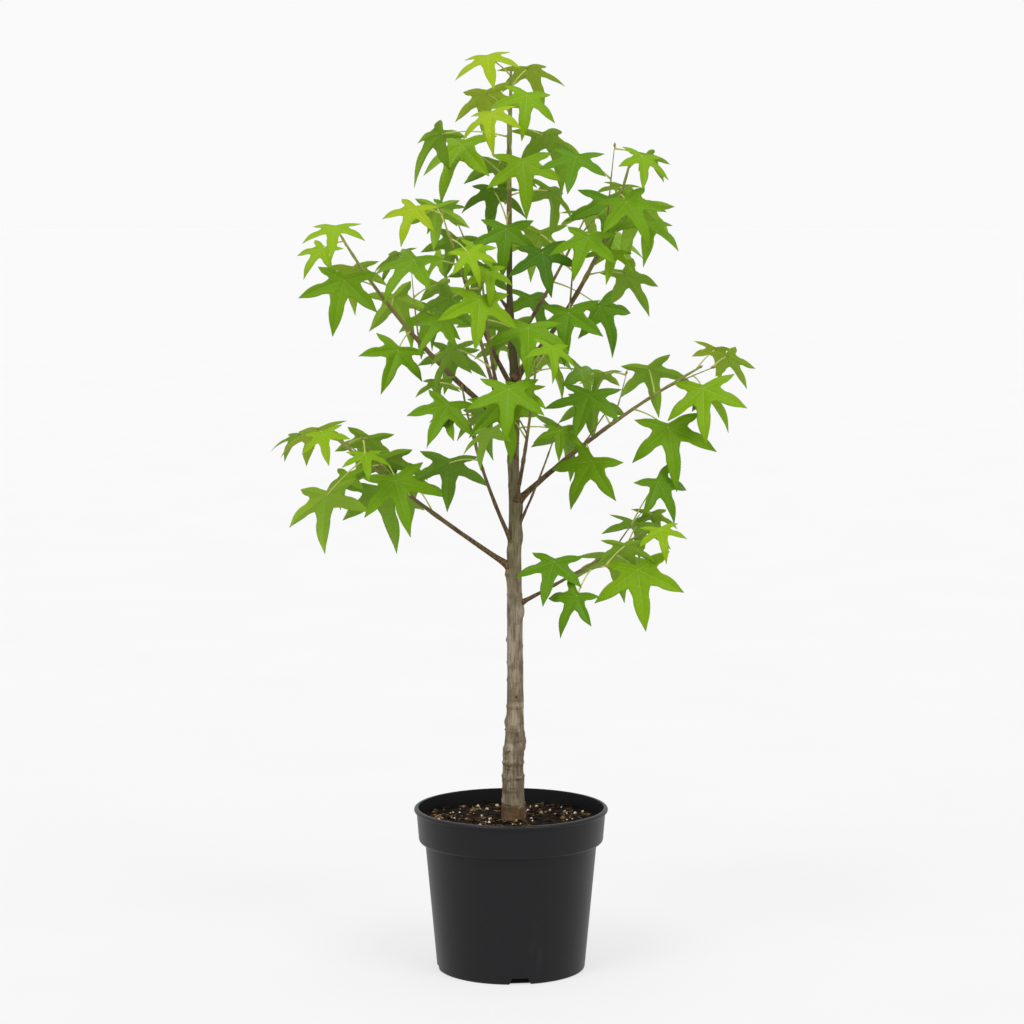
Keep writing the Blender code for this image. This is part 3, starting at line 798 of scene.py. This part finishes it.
def outward(leaf):  # from 0 inside the crown to 1 at the tips of far and high shoots
    base = leaf["base"]
    high = (base.z - tintRule["high"]) / tintRule["over"]
    return min(1.0, max(base.xy.length / tintRule["far"], high))


def tintOf(leaf, rule):  # young leaves, at the shoots' tips, are lighter; leaves inside the crown are darker, partly as painted shade
    light = tintRule["base"] + outward(leaf) * (tintRule["out"] + tintRule["tip"] * leaf["u"])
    light += rule.gauss(0, tintRule["stray"])
    return min(len(leafTints) - 1, max(0, int(light * len(leafTints))))


templates = [leafTemplate(seed) for seed in range(bladeLook["variants"])]
tintMaterials = [leafMaterials(tint) for tint in leafTints]


def addLeaves(name, leaves):
    rule = random.Random(tintRule["seed"] + masses[name]["seed"])
    top = isLeader(masses[name])
    bend = bladeLook["leaderBend" if top else "bend"]
    reach = bladeLook["leaderReach" if top else "reach"]
    bag, kinds = Bag(), len(leafSides)
    for leaf in leaves:
        template = templates[rule.randrange(len(templates))]
        first = kinds * tintOf(leaf, rule)
        start = len(bag.slots)
        inner = bladeLook["innerReach"]
        bag.add(bladeShape(leaf, template, rule, bend, reach * (inner + (1 - inner) * outward(leaf))))
        bag.slots[start:] = [first + slot for slot in template["slots"]]
    used = sorted(set(bag.slots))
    bag.slots = [used.index(slot) for slot in bag.slots]
    materials = [tintMaterials[slot // kinds][slot % kinds] for slot in used]
    addPiece(camel(name) + "Leaves", bag.mesh(name, materials), "foliage", name + "_leaves")
    return sum(len(face) - 2 for face in bag.faces)


leafTriangles = {name: addLeaves(name, leaves) for name, leaves in grown.items()}
print("leaves", sum(leafTriangles.values()), "triangles, most in one", max(leafTriangles.values()))


# green shoots: stems, twigs, stalks and buds of each mass, joined
shootLook = {
    "brown": ((0.125, 0.088, 0.034), (0.050, 0.033, 0.013)),
    "olive": ((0.175, 0.150, 0.042), (0.085, 0.068, 0.020)),
    "green": ((0.210, 0.240, 0.050), (0.120, 0.110, 0.026)),
    "stalk": ((0.400, 0.450, 0.110), (0.280, 0.290, 0.065)),
    "bud": ((0.260, 0.200, 0.060), (0.120, 0.060, 0.025)),
    "overhang": 0.01,  # of a shoot past its last leaf
    "stemSides": 10,
    "stemPieces": 28,
    "twigPieces": 16,
    "stalkSides": 7,
    "stalkPieces": 9,
    "stalkRadius": (0.00140, 0.00100, 0.00095, 0.00110),
    "knot": 0.30,
    "budLength": 0.0060,
    "budRadius": 0.0018,
    "budShape": ((0.0, 0.55), (0.18, 0.9), (0.40, 1.0), (0.65, 0.75), (0.86, 0.38), (1.0, 0.06)),
    "axilBud": 0.6,  # size of the buds beside the stalks
    "lap": 0.004,  # how far a stem starts inside its bough or trunk
}


def shootMaterial(name):
    colour, dark = shootLook[name]
    shader = Shader(name + "Shoot", 0.2)
    streaks = shader.noise(600.0, 4.0, (1, 1, 0.3))
    spots = 1 - shader.spots(330.0, (1, 1, 0.6)).over(0.10, 0.22)
    base = shader.mix(colour, dark, streaks.over(0.46, 0.72) * 0.7 + spots * 0.15)
    return shader.skin(base, 0.42 + streaks * 0.28, streaks + spots * 0.6, 0.0002)


shootMaterials = [shootMaterial(name) for name in ("brown", "olive", "green", "stalk", "bud")]


def addStem(bag, path, radii, sides, colours):  # one limb in stretches of colour
    points, faces = tubeShape(path, radii, sides)
    start = len(bag.slots)
    bag.add((points, faces))
    ring = (len(path) - 1) * sides
    tones = [colours[min(n * len(colours) // ring, len(colours) - 1)] for n in range(ring)]
    bag.slots[start:] = tones + [colours[0], colours[-1]]


def budShape(place, heading, scale):
    length, radius = shootLook["budLength"] * scale, shootLook["budRadius"] * scale
    return spindle(place, heading * length, radius, shootLook["budShape"], 8)


def stalkPath(leaf, pieces):
    path = []
    for t in evenShares(0, 1, pieces):
        point = leaf["node"].lerp(leaf["base"], t)
        point.z += 4 * t * (1 - t) * leaf["bow"]
        path.append(point)
    return path


def addShoots(name, mass, leaves):
    look, bag = shootLook, Bag()
    rule = random.Random(mass["seed"])
    shoots = shootsOf(mass)
    total = mass["limb"] + mass["shoot"]
    first = mass["limb"] / total
    for number, shoot in enumerate(shoots):
        places = [leaf["place"] for leaf in leaves if leaf["shoot"] == number]
        if not places:
            continue
        pieces = look["twigPieces"] if number else look["stemPieces"]
        start = 0 if number else max(0.0, first - look["lap"] / total)
        end = min(1.0, max(places) + look["overhang"])
        shares = evenShares(start, end, pieces)
        path = [smoothPoint(shoot[0], s) for s in shares]
        if number:
            radii = [growth["twigRadius"] * taper(s) for s in shares]
        elif isLeader(mass):
            path[0].z = trunkTip - look["lap"]
            radii = [trunkAt(point.z)[1] for point in path]
        else:
            radii = limbRadii(mass, start, end, pieces)
        radii = [r * (1 + look["knot"] * max(0.0, rule.uniform(-1.5, 1))) for r in radii]
        tones = (1, 2) if number else (1, 2, 2) if isLeader(mass) else (0, 1, 2)
        addStem(bag, path, radii, look["stemSides"], tones)
        bag.add(budShape(path[-1], (path[-1] - path[-2]).normalized(), 1.0), 4)
    for leaf in leaves:
        path = stalkPath(leaf, look["stalkPieces"])
        ends = [Vector((r, 0)) for r in look["stalkRadius"]]
        radii = [smoothPoint(ends, share).x for share in evenShares(0, 1, look["stalkPieces"])]
        bag.add(tubeShape(path, radii, look["stalkSides"]), 3)
        axil = (path[1] - path[0]).normalized() + Vector((0, 0, 0.8))
        bag.add(budShape(path[0], axil.normalized(), look["axilBud"]), 4)
    addPiece(camel(name) + "Shoots", bag.mesh(name, shootMaterials), "young_bark", name + "_leaves")


for name, mass in masses.items():
    addShoots(name, mass, grown[name])
print("shoots")


# trunk and boughs
barkLook = {
    "grey": (0.170, 0.134, 0.084),
    "pale": (0.340, 0.285, 0.200),
    "dark": (0.050, 0.034, 0.020),
    "olive": (0.125, 0.115, 0.048),
    "young": (0.066, 0.056, 0.016),
    "collar": (0.120, 0.056, 0.018),
    "boughLight": (0.152, 0.102, 0.046),
    "boughDark": (0.056, 0.034, 0.015),
    "oliveFrom": 0.44,  # height where the grey bark starts to turn olive, and then brown
    "oliveFull": 0.66,
    "youngFrom": 0.68,
    "youngFull": 0.84,
    "collarTop": 0.224,
    "seed": 3,
    "buried": 0.004,  # of the trunk, under the soil
    "sides": 48,
    "step": 0.0030,
    "relief": 0.00075,
    "smooth": (-0.02, -0.01, 0.01, 0.02),  # the trunk's rows are evened out over these heights
    "firstScar": 0.232,
    "scarStep": (0.022, 0.046),
    "scar": 0.0009,
    "scarHalf": 0.0022,
    "rings": (0.266, 0.285, 0.304),
    "ring": 0.0017,
    "ringHalf": 0.0024,
    "knots": (  # height, heading, rise and reach
        (0.314, 5, 0.0034, 0.009), (0.341, 178, 0.0024, 0.006), (0.296, 170, 0.0016, 0.007),
        (0.377, -80, 0.0012, 0.003), (0.4536, 184, 0.0020, 0.0035), (0.258, 20, 0.0014, 0.008),
        (0.492, -20, 0.0012, 0.004),
    ),
    "scarSpots": (  # height, heading and size
        (0.377, -84, 0.0022), (0.4536, 186, 0.0026), (0.330, 176, 0.0020), (0.600, -60, 0.0018),
    ),
    "scarColour": ((0.110, 0.030, 0.016), (0.035, 0.016, 0.010)),
    "scarShape": ((-0.5, 1.0), (0.1, 0.9), (0.6, 0.55), (0.9, 0.1)),
    "stub": {
        "height": 0.752, "heading": 188, "rise": 20, "length": 0.019, "radius": 0.0042,
        "shape": ((0, 1.5), (0.5, 1.15), (0.7, 1.0), (0.9, 1.05), (1, 0.8)),
    },
    "bulge": 0.0030,  # under each bough
    "bulgeDrop": 0.004,
    "bulgeHalf": 0.011,
    "boughSides": 18,
    "boughPieces": 34,
    "boughFlare": 0.75,
    "flareLength": 0.007,
}


def barkMaterial():
    look, shader = barkLook, Shader("bark", 0.15)
    height = shader.height()
    streaks = shader.noise(420.0, 5.0, (1, 1, 0.10))
    blotches = shader.noise(70.0, 5.0, (1, 1, 0.5))
    cracks = shader.noise(900.0, 4.0, (1, 1, 0.06))
    rings = shader.noise(160.0, 3.0, (0.12, 0.12, 1))
    base = shader.mix(look["grey"], look["pale"], blotches.over(0.43, 0.64) * 0.8)
    for tone, most in (("olive", 0.75), ("young", 0.85)):
        share = height.over(look[tone + "From"], look[tone + "Full"]) * most
        base = shader.mix(base, look[tone], share)
    edge = height + (shader.noise(60.0, 3.0) - 0.5) * 0.020
    low = 1 - edge.over(look["collarTop"] - 0.003, look["collarTop"] + 0.003)
    base = shader.mix(base, look["collar"], low * (0.35 + blotches.over(0.35, 0.60) * 0.6))
    base = shader.mix(base, look["dark"], streaks.over(0.47, 0.68) * 0.62)
    base = shader.mix(base, look["dark"], cracks.over(0.48, 0.66) * (0.28 + low * 0.4))
    wrinkled = 1 - height.over(0.30, 0.42)
    base = shader.mix(base, look["dark"], rings.over(0.54, 0.68) * (0.15 + wrinkled * 0.45))
    broken = shader.noise(120.0, 3.0, (1, 1, 0.5)).over(0.44, 0.60)
    for ring in look["rings"]:  # painted shade as a broken dark band under each ring, and a painted highlight as a pale band on its top
        shadeUnderRing = edge.over(ring - 0.0058, ring - 0.0038) * (1 - edge.over(ring - 0.0028, ring - 0.0008))
        highlightOnRing = edge.over(ring - 0.0010, ring + 0.0006) * (1 - edge.over(ring + 0.0010, ring + 0.0030))
        base = shader.mix(base, look["dark"], shadeUnderRing * broken * 0.8)
        base = shader.mix(base, look["pale"], highlightOnRing * broken * 0.6)
    roughness = 0.66 + streaks * 0.25
    relief = streaks + cracks + blotches * 0.6 + rings * wrinkled * 0.8
    return shader.skin(base, roughness, relief, 0.0010)


def boughMaterial():
    shader = Shader("boughBark", 0.15)
    streaks = shader.noise(500.0, 5.0, (1, 1, 0.35))
    spots = 1 - shader.spots(420.0, (1, 1, 0.5)).over(0.10, 0.24)
    base = shader.mix(barkLook["boughDark"], barkLook["boughLight"], streaks.over(0.40, 0.66))
    base = shader.mix(base, barkLook["pale"], spots * 0.25)
    return shader.skin(base, 0.60 + streaks * 0.3, streaks + spots * 0.5, 0.0005)


def scarMaterial():
    shader = Shader("budScar", 0.15)
    light, dark = barkLook["scarColour"]
    grain = shader.noise(900.0, 4.0)
    base = shader.mix(light, dark, grain.over(0.40, 0.62))
    return shader.skin(base, 0.6 + grain * 0.3, grain, 0.0004)


bark, boughBark = barkMaterial(), boughMaterial()


def barkRelief(turn, height, seed):
    ridges = wobble((math.cos(turn) * 4, math.sin(turn) * 4, height * 30), 1.0, seed)
    lumps = wobble((math.cos(turn), math.sin(turn), height * 45), 1.0, seed + 9)
    return barkLook["relief"] * (0.6 * ridges + 0.8 * lumps)


def trunkPush(z, turn, radius, scars):  # how far the bark stands out at a height and a turn
    look = barkLook
    push = barkRelief(turn, z, 2.0) + look["scar"] * scars * (0.7 + 0.5 * math.cos(turn + 40 * z))
    push += look["ring"] * sum(hump(z - ring, look["ringHalf"]) for ring in look["rings"])
    for height, heading, rise, reach in look["knots"]:
        off = (turn - math.radians(heading) + math.pi) % math.tau - math.pi
        away = ((z - height) ** 2 + (off * radius) ** 2) / reach**2
        push += rise * math.exp(-away)
    for mass in masses.values():
        drop = (z - mass["root"] + look["bulgeDrop"]) / look["bulgeHalf"]
        if abs(drop) < 3 and not isLeader(mass):
            face = max(0.0, math.cos(turn - math.radians(mass["azimuth"])))
            push += look["bulge"] * face**3 * hump(drop) * radius / 0.01
    return push


def trunkShape():
    look, rule, soil = barkLook, random.Random(barkLook["seed"]), trunkRows[0][0]
    scars = [look["firstScar"]]
    while scars[-1] < trunkTip:
        scars.append(scars[-1] + rule.uniform(*look["scarStep"]))
    foot, sides = soil - look["buried"], look["sides"]
    count = int((trunkTip - foot) / look["step"])
    points = []
    for z in evenShares(foot, trunkTip, count):
        centre, radius = trunkAt(max(z, soil))
        near = [trunkAt(min(max(z + step, soil), trunkTip)) for step in look["smooth"]]
        centre = (centre + sum((place for place, _ in near), Vector())) / (1 + len(near))
        radius = (radius + sum(size for _, size in near)) / (1 + len(near))
        ring = sum(hump(z - scar, look["scarHalf"]) for scar in scars)
        for turn in turns(sides):
            size = radius + trunkPush(z, turn, radius, ring) * min(1.0, radius / 0.008)
            points.append(Vector((centre.x + size * math.cos(turn), size * math.sin(turn), z)))
    return points, tubeFaces(count + 1, sides)


def addTrunk():
    bag, stub = Bag(), barkLook["stub"]
    bag.add(trunkShape())
    reach = direction(stub["heading"], stub["rise"]) * stub["length"]
    bag.add(spindle(trunkAt(stub["height"])[0], reach, stub["radius"], stub["shape"], 14))
    for height, side, size in barkLook["scarSpots"]:
        centre, radius = trunkAt(height)
        start = centre + direction(side, 0) * radius * 0.97
        bag.add(spindle(start, direction(side, 25) * size, size, barkLook["scarShape"], 10), 1)
    addPiece("trunkBark", bag.mesh("trunk", [bark, scarMaterial()]), "bark", "trunk")


def addBough(name, mass):
    look, total = barkLook, mass["limb"] + mass["shoot"]
    end, pieces, sides = mass["limb"] / total, look["boughPieces"], look["boughSides"]
    shares = evenShares(0, end, pieces)
    path = [smoothPoint(mainPath(mass), s) for s in shares]
    skin = trunkAt(mass["root"])[1]
    radii = limbRadii(mass, 0, end, pieces)
    for k, s in enumerate(shares):
        away = max(0.0, s * total - skin)
        radii[k] *= 1 + look["boughFlare"] * math.exp(-away / look["flareLength"])
    points, faces = tubeShape(path, radii, sides)
    for i in range(len(path)):
        for k in range(sides):
            n = i * sides + k
            out = (points[n] - path[i]).normalized()
            points[n] += out * barkRelief(math.tau * k / sides, i / pieces * 0.1, mass["seed"]) * 0.7
    mesh = meshOf((points, faces), name, [boughBark])
    addPiece(camel(name) + "Bough", mesh, "young_bark", name + "_bough")


addTrunk()
for name, mass in masses.items():
    if not isLeader(mass):
        addBough(name, mass)
print("trunk and boughs")


# pot
potLook = {
    "colour": (0.0034, 0.0034, 0.0046),
    "worn": (0.032, 0.032, 0.033),
    "roughness": 0.42,
    "grain": 0.00005,
    "sides": 144,
    "sharp": 35,  # degrees between faces, over which an edge stays sharp
    "roundSteps": 6,
    "height": 0.223,
    "footRadius": 0.1015,
    "bodyRadius": 0.1175,
    "wall": 0.0022,
    "floor": 0.003,
    "footRound": 0.003,
    "collarFoot": 0.176,
    "collarFootRadius": 0.1262,
    "collarTopRadius": 0.1292,
    "collarRound": 0.0045,
    "lipRadius": 0.1326,
    "lipHeight": 0.006,
    "notches": 4,
    "notchWidth": 0.030,
    "notchHeight": 0.009,
    "notchTaper": 0.7,
    "notchDepth": 0.010,
    "notchHeading": -83.0,
}


def potMaterial():
    shader = Shader("potPlastic", 0.26)
    cloud = shader.noise(9.0, 3.0)
    scuff = shader.noise(55.0, 6.0, (1, 1, 0.25)).over(0.60, 0.78) * cloud.over(0.40, 0.62)
    dust = shader.noise(420.0, 2.0).over(0.68, 0.76) * 0.6
    base = shader.mix(potLook["colour"], potLook["worn"], scuff * 0.15 + dust * 0.6)
    roughness = potLook["roughness"] + (cloud - 0.5) * 0.12 + scuff * 0.05
    return shader.skin(base, roughness, shader.noise(900.0, 3.0), potLook["grain"])


def quarterRound(radius, height, size, start, end):
    angles = [math.radians(a) for a in evenShares(start, end, potLook["roundSteps"])]
    return [(radius + size * math.cos(a), height + size * math.sin(a)) for a in angles]


def potInside():
    look = potLook
    step = look["collarFoot"] + look["wall"]
    slope = (look["bodyRadius"] - look["footRadius"]) / look["collarFoot"]
    return [
        (0, look["floor"]),
        (look["footRadius"] + slope * look["floor"] - look["wall"], look["floor"]),
        (look["bodyRadius"] - look["wall"], step),
        (look["collarFootRadius"] - look["wall"], step + look["collarRound"]),
        (look["collarTopRadius"] - look["wall"], look["height"]),
    ]


def notchShape(k):
    look = potLook
    out = direction(look["notchHeading"] + 360 * k / look["notches"], 0)
    side = Vector((-out.y, out.x, 0))
    near, far = look["footRadius"] - look["notchDepth"], look["footRadius"] + look["notchDepth"]
    tall, narrow = look["notchHeight"], look["notchTaper"]
    points = []
    for height, width in ((-tall, 2 - narrow), (tall, narrow)):
        half = look["notchWidth"] / 2 * width
        for away, across in ((near, -half), (far, -half), (far, half), (near, half)):
            points.append(out * away + side * across + Vector((0, 0, height)))
    return points, [(3, 2, 1, 0), (4, 5, 6, 7), (0, 1, 5, 4), (1, 2, 6, 5), (2, 3, 7, 6), (3, 0, 4, 7)]


def addPot():
    look, half = potLook, potLook["lipHeight"] / 2
    footRound, collarRound = look["footRound"], look["collarRound"]
    foot = quarterRound(look["footRadius"] - footRound, footRound, footRound, -90, 0)
    turnOut = look["collarFootRadius"] - collarRound
    collar = quarterRound(turnOut, look["collarFoot"] + collarRound, collarRound, -90, 0)
    lip = quarterRound(look["lipRadius"] - half, look["height"] - half, half, -60, 90)
    underLip = (look["collarTopRadius"], look["height"] - look["lipHeight"])
    outside = [(0, 0), *foot, (look["bodyRadius"], look["collarFoot"]), *collar, underLip, *lip]
    shell, notches = turnedShape(outside + potInside()[::-1], look["sides"]), Bag()
    for k in range(look["notches"]):
        notches.add(notchShape(k))
    whole = addObject("potWhole", meshOf(shell, "potWhole", [potMaterial()]))
    cutter = addObject("potNotches", notches.mesh("potNotches", []))
    cut = whole.modifiers.new("notches", "BOOLEAN")
    cut.operation, cut.object = "DIFFERENCE", cutter
    view = bpy.context.evaluated_depsgraph_get()
    mesh = bpy.data.meshes.new_from_object(whole.evaluated_get(view))
    for thing in (whole, cutter):
        bpy.data.objects.remove(thing)
    mesh.shade_smooth()
    mesh.set_sharp_from_angle(angle=math.radians(look["sharp"]))
    addPiece("potShell", mesh, "pot", "pot")


addPot()
print("pot")


# soil: a plug with a rough top, and bark chips, fibres and perlite lying on it
soilLook = {
    "level": 0.2045,
    "dark": (0.0035, 0.0022, 0.0012),
    "light": (0.045, 0.027, 0.014),
    "rings": 44,
    "sides": 120,
    "rough": 0.0024,
    "mound": 0.0030,
    "darkChip": ((0.006, 0.0035, 0.002), (0.020, 0.011, 0.006)),
    "brownChip": ((0.028, 0.015, 0.006), (0.080, 0.044, 0.018)),
    "tanChip": ((0.090, 0.055, 0.022), (0.260, 0.175, 0.090)),
    "chips": 760,
    "bare": -0.10,  # where this noise is lower, no chips lie
    "clear": 0.019,  # round the trunk
    "chipReach": 0.985,  # of the soil's radius, as the two below
    "fibreReach": 0.9,
    "grainReach": 0.95,
    "chipLength": (0.003, 0.013),
    "fibres": 60,
    "fibreRadius": 0.00035,
    "fibreSteps": 6,
    "fibreStep": (0.0012, 0.0028),
    "grains": 85,
    "grainRadius": (0.0008, 0.0025),
    "perlite": (0.66, 0.59, 0.46),
    "seed": 21,
}


def soilMaterial():
    shader = Shader("pottingMix", 0.05)
    coarse, fine = shader.noise(120.0, 8.0), shader.noise(700.0, 6.0)
    top = shader.height().over(soilLook["level"] - 0.020, soilLook["level"] - 0.008)  # painted shade: darker further down the soil's side, where the pot wall shades it
    base = shader.mix(soilLook["dark"], soilLook["light"], coarse.over(0.42, 0.7) * fine * top)
    return shader.skin(base, 0.8 + fine * 0.2, coarse + fine * 0.6, 0.0016)


def grainMaterial(name, dark, light, stretch=(1, 1, 2.5)):
    shader = Shader(name, 0.08)
    grain = shader.noise(260.0, 6.0, stretch)
    base = shader.mix(dark, light, grain.over(0.35, 0.68))
    return shader.skin(base, 0.7 + grain * 0.3, grain, 0.0006)


def soilHeight(x, y, radius):
    away = math.hypot(x, y)
    edge = min(1.0, max(0.0, (radius - away) / 0.006))
    lumps = wobble((x, y, 0), 90.0, 3.0) * 0.6 + wobble((x, y, 0), 260.0, 8.0) * 0.5
    mound = soilLook["mound"] * (hump(away, 0.05) - 0.6 * wobble((x, y, 0), 22.0, 5.0))
    return soilLook["level"] + edge * (soilLook["rough"] * lumps + mound) - (1 - edge) * 0.002


def onSoil(x, y, radius, lift=0.0):
    return Vector((x, y, soilHeight(x, y, radius) + lift))


def scatter(rule, reach):  # a place spread evenly over a disc: distance, x and y
    away, turn = reach * math.sqrt(rule.random()), rule.uniform(0, math.tau)
    return away, away * math.cos(turn), away * math.sin(turn)


def addBed():  # the plug of soil, and its radius at the top
    look, inside, gap = soilLook, potInside(), growth["gap"]
    low, top = inside[3], inside[4]
    share = (look["level"] - low[1]) / (top[1] - low[1])
    radius = low[0] + (top[0] - low[0]) * share - gap
    profile = [(0, inside[0][1] + gap), (inside[1][0] - gap, inside[1][1] + gap)]
    profile += [(inside[2][0] - gap, inside[2][1] + gap), (low[0] - gap, low[1] + gap)]
    profile += [(radius * (1 - k / look["rings"]), look["level"]) for k in range(look["rings"])]
    points, faces = turnedShape(profile + [(0, look["level"])], look["sides"])
    for point in points:
        if point.z > look["level"] - 1e-4:
            point.z = soilHeight(point.x, point.y, radius)
    addPiece("soilBed", meshOf((points, faces), "soil", [soilMaterial()]), "soil", "soil")
    return radius


def chipShape(rule, away, x, y, radius):  # a rough flake of bark that lies on the soil
    length = rule.uniform(*soilLook["chipLength"]) * rule.uniform(0.5, 1.0)
    length = min(length, 0.004 + max(0.0, radius - away))
    sizes = (length, length * rule.uniform(0.35, 0.7), length * rule.uniform(0.15, 0.4))
    along = direction(rule.uniform(0, 360), rule.gauss(0, 18))
    across = along.cross(direction(0, 90)).normalized()
    normal = across.cross(along)
    centre = onSoil(x, y, radius, sizes[2] * 0.3)
    corners = []
    for c in ((-1, -1), (1, -1), (1, 1), (-1, 1)):
        for level in (-1, 1):
            jitter = [rule.uniform(0.6, 1.0) for _ in range(3)]
            offset = along * (c[0] * sizes[0] / 2 * jitter[0])
            offset = offset + across * (c[1] * sizes[1] / 2 * jitter[1])
            corners.append(centre + offset + normal * (level * sizes[2] / 2 * jitter[2]))
    box = [(0, 2, 4, 6), (1, 7, 5, 3), (0, 1, 3, 2), (2, 3, 5, 4), (4, 5, 7, 6), (6, 7, 1, 0)]
    return corners, [face[::-1] for face in box]


def fibreShape(rule, radius):
    look, steps = soilLook, soilLook["fibreSteps"]
    _, x, y = scatter(rule, radius * look["fibreReach"])
    heading, bend = rule.uniform(0, 360), rule.uniform(-60, 60)
    point, path = Vector((x, y, 0)), []
    for k in range(steps + 1):
        point = point + direction(heading + bend * k / steps, 0) * rule.uniform(*look["fibreStep"])
        lift = 0.0006 + 0.0012 * math.sin(math.pi * k / steps)
        path.append(onSoil(point.x, point.y, radius, lift))
    return tubeShape(path, [look["fibreRadius"]] * len(path), 5)


def grainShape(rule, radius):  # a lump of perlite
    _, x, y = scatter(rule, radius * soilLook["grainReach"])
    size, base = rule.uniform(*soilLook["grainRadius"]), onSoil(x, y, radius)
    path = [base + Vector((0, 0, size * lift)) for lift in (-0.9, -0.5, 0.1, 0.7, 1.1)]
    points, faces = tubeShape(path, [size * fat for fat in (0.3, 0.85, 1.0, 0.75, 0.25)], 8)
    for n, point in enumerate(points):
        parts = [wobble(point, 0.9 / size, seed) for seed in (1.0, 4.0, 7.0)]
        points[n] = point + Vector(parts) * size * 0.35
    return points, faces


def addSoil():
    look, rule, chips, radius = soilLook, random.Random(soilLook["seed"]), Bag(), addBed()
    for _ in range(look["chips"]):
        away, x, y = scatter(rule, radius * look["chipReach"])
        if away < look["clear"] or wobble((x, y, 0), 42.0, 11.0) < look["bare"]:
            continue
        chips.add(chipShape(rule, away, x, y, radius), rule.choice((0, 0, 0, 1, 1, 2)))
    for _ in range(look["fibres"]):
        chips.add(fibreShape(rule, radius), rule.choice((1, 2)))
    for _ in range(look["grains"]):
        chips.add(grainShape(rule, radius), 3)
    tones = [grainMaterial(name, *look[name]) for name in ("darkChip", "brownChip", "tanChip")]
    tones.append(grainMaterial("perlite", (0.36, 0.30, 0.20), look["perlite"], (1, 1, 1)))
    addPiece("soilChips", chips.mesh("soilChips", tones, smooth=False), "soil", "soil")


addSoil()
print("soil")


# stage: a wide pale floor under an even sky, soft lights and the camera
stageLook = {
    "paper": ((0.19, 0.19, 0.19), (0.21, 0.21, 0.21)),
    "glow": 0.627,
    "radius": 60.0,
    "sides": 96,
    "sky": (1.0, 1.0, 1.0),
    "skyStrength": 0.955,
    "lights": {  # headings and rises that the light comes from, and how wide it is
        "left": {"from": (-128, 50), "spread": 26.0, "strength": 1.25},
        "right": {"from": (-48, 50), "spread": 30.0, "strength": 1.10},
    },
}


def addStage():
    look = stageLook
    shader = Shader("paper", 0.05)
    mottle = shader.noise(3.0, 2.0)
    shader.put("Base Color", shader.mix(*look["paper"], mottle))
    shader.put("Roughness", 0.8 + mottle * 0.1)
    shader.put("Emission Color", (1.0, 1.0, 1.0))
    shader.put("Emission Strength", look["glow"])
    rim = [direction(360 * k / look["sides"], 0) * look["radius"] for k in range(look["sides"])]
    disc = rim, [tuple(range(look["sides"]))]
    floor = addObject("paperFloor", meshOf(disc, "paperFloor", [shader.material], smooth=False))
    world = bpy.data.worlds.new("studio")
    world.use_nodes = True
    sky = world.node_tree.nodes["Background"]
    sky.inputs["Color"].default_value = (*look["sky"], 1.0)
    sky.inputs["Strength"].default_value = look["skyStrength"]
    bpy.context.scene.world = world
    for name, light in look["lights"].items():
        lamp = bpy.data.lights.new(name, "SUN")
        lamp.angle, lamp.energy = math.radians(light["spread"]), light["strength"]
        thing = addObject(name, lamp)
        thing.rotation_euler = direction(*light["from"]).to_track_quat("Z", "Y").to_euler()


# the camera, fitted by a program to the pot's rim and foot: millimetres, metres and degrees
cameraLook = {"lens": 108.4, "sensor": 36.0, "place": (0.00135, -4.15, 1.083), "pitch": -6.25}


def addCamera():
    camera = bpy.data.cameras.new("view")
    camera.lens, camera.sensor_width = cameraLook["lens"], cameraLook["sensor"]
    thing = addObject("view", camera)
    thing.location = cameraLook["place"]
    thing.rotation_euler = (math.radians(90 + cameraLook["pitch"]), 0, 0)
    bpy.context.scene.camera = thing


addStage()
addCamera()
bpy.context.scene.view_settings.view_transform = "Standard"
print("stage")
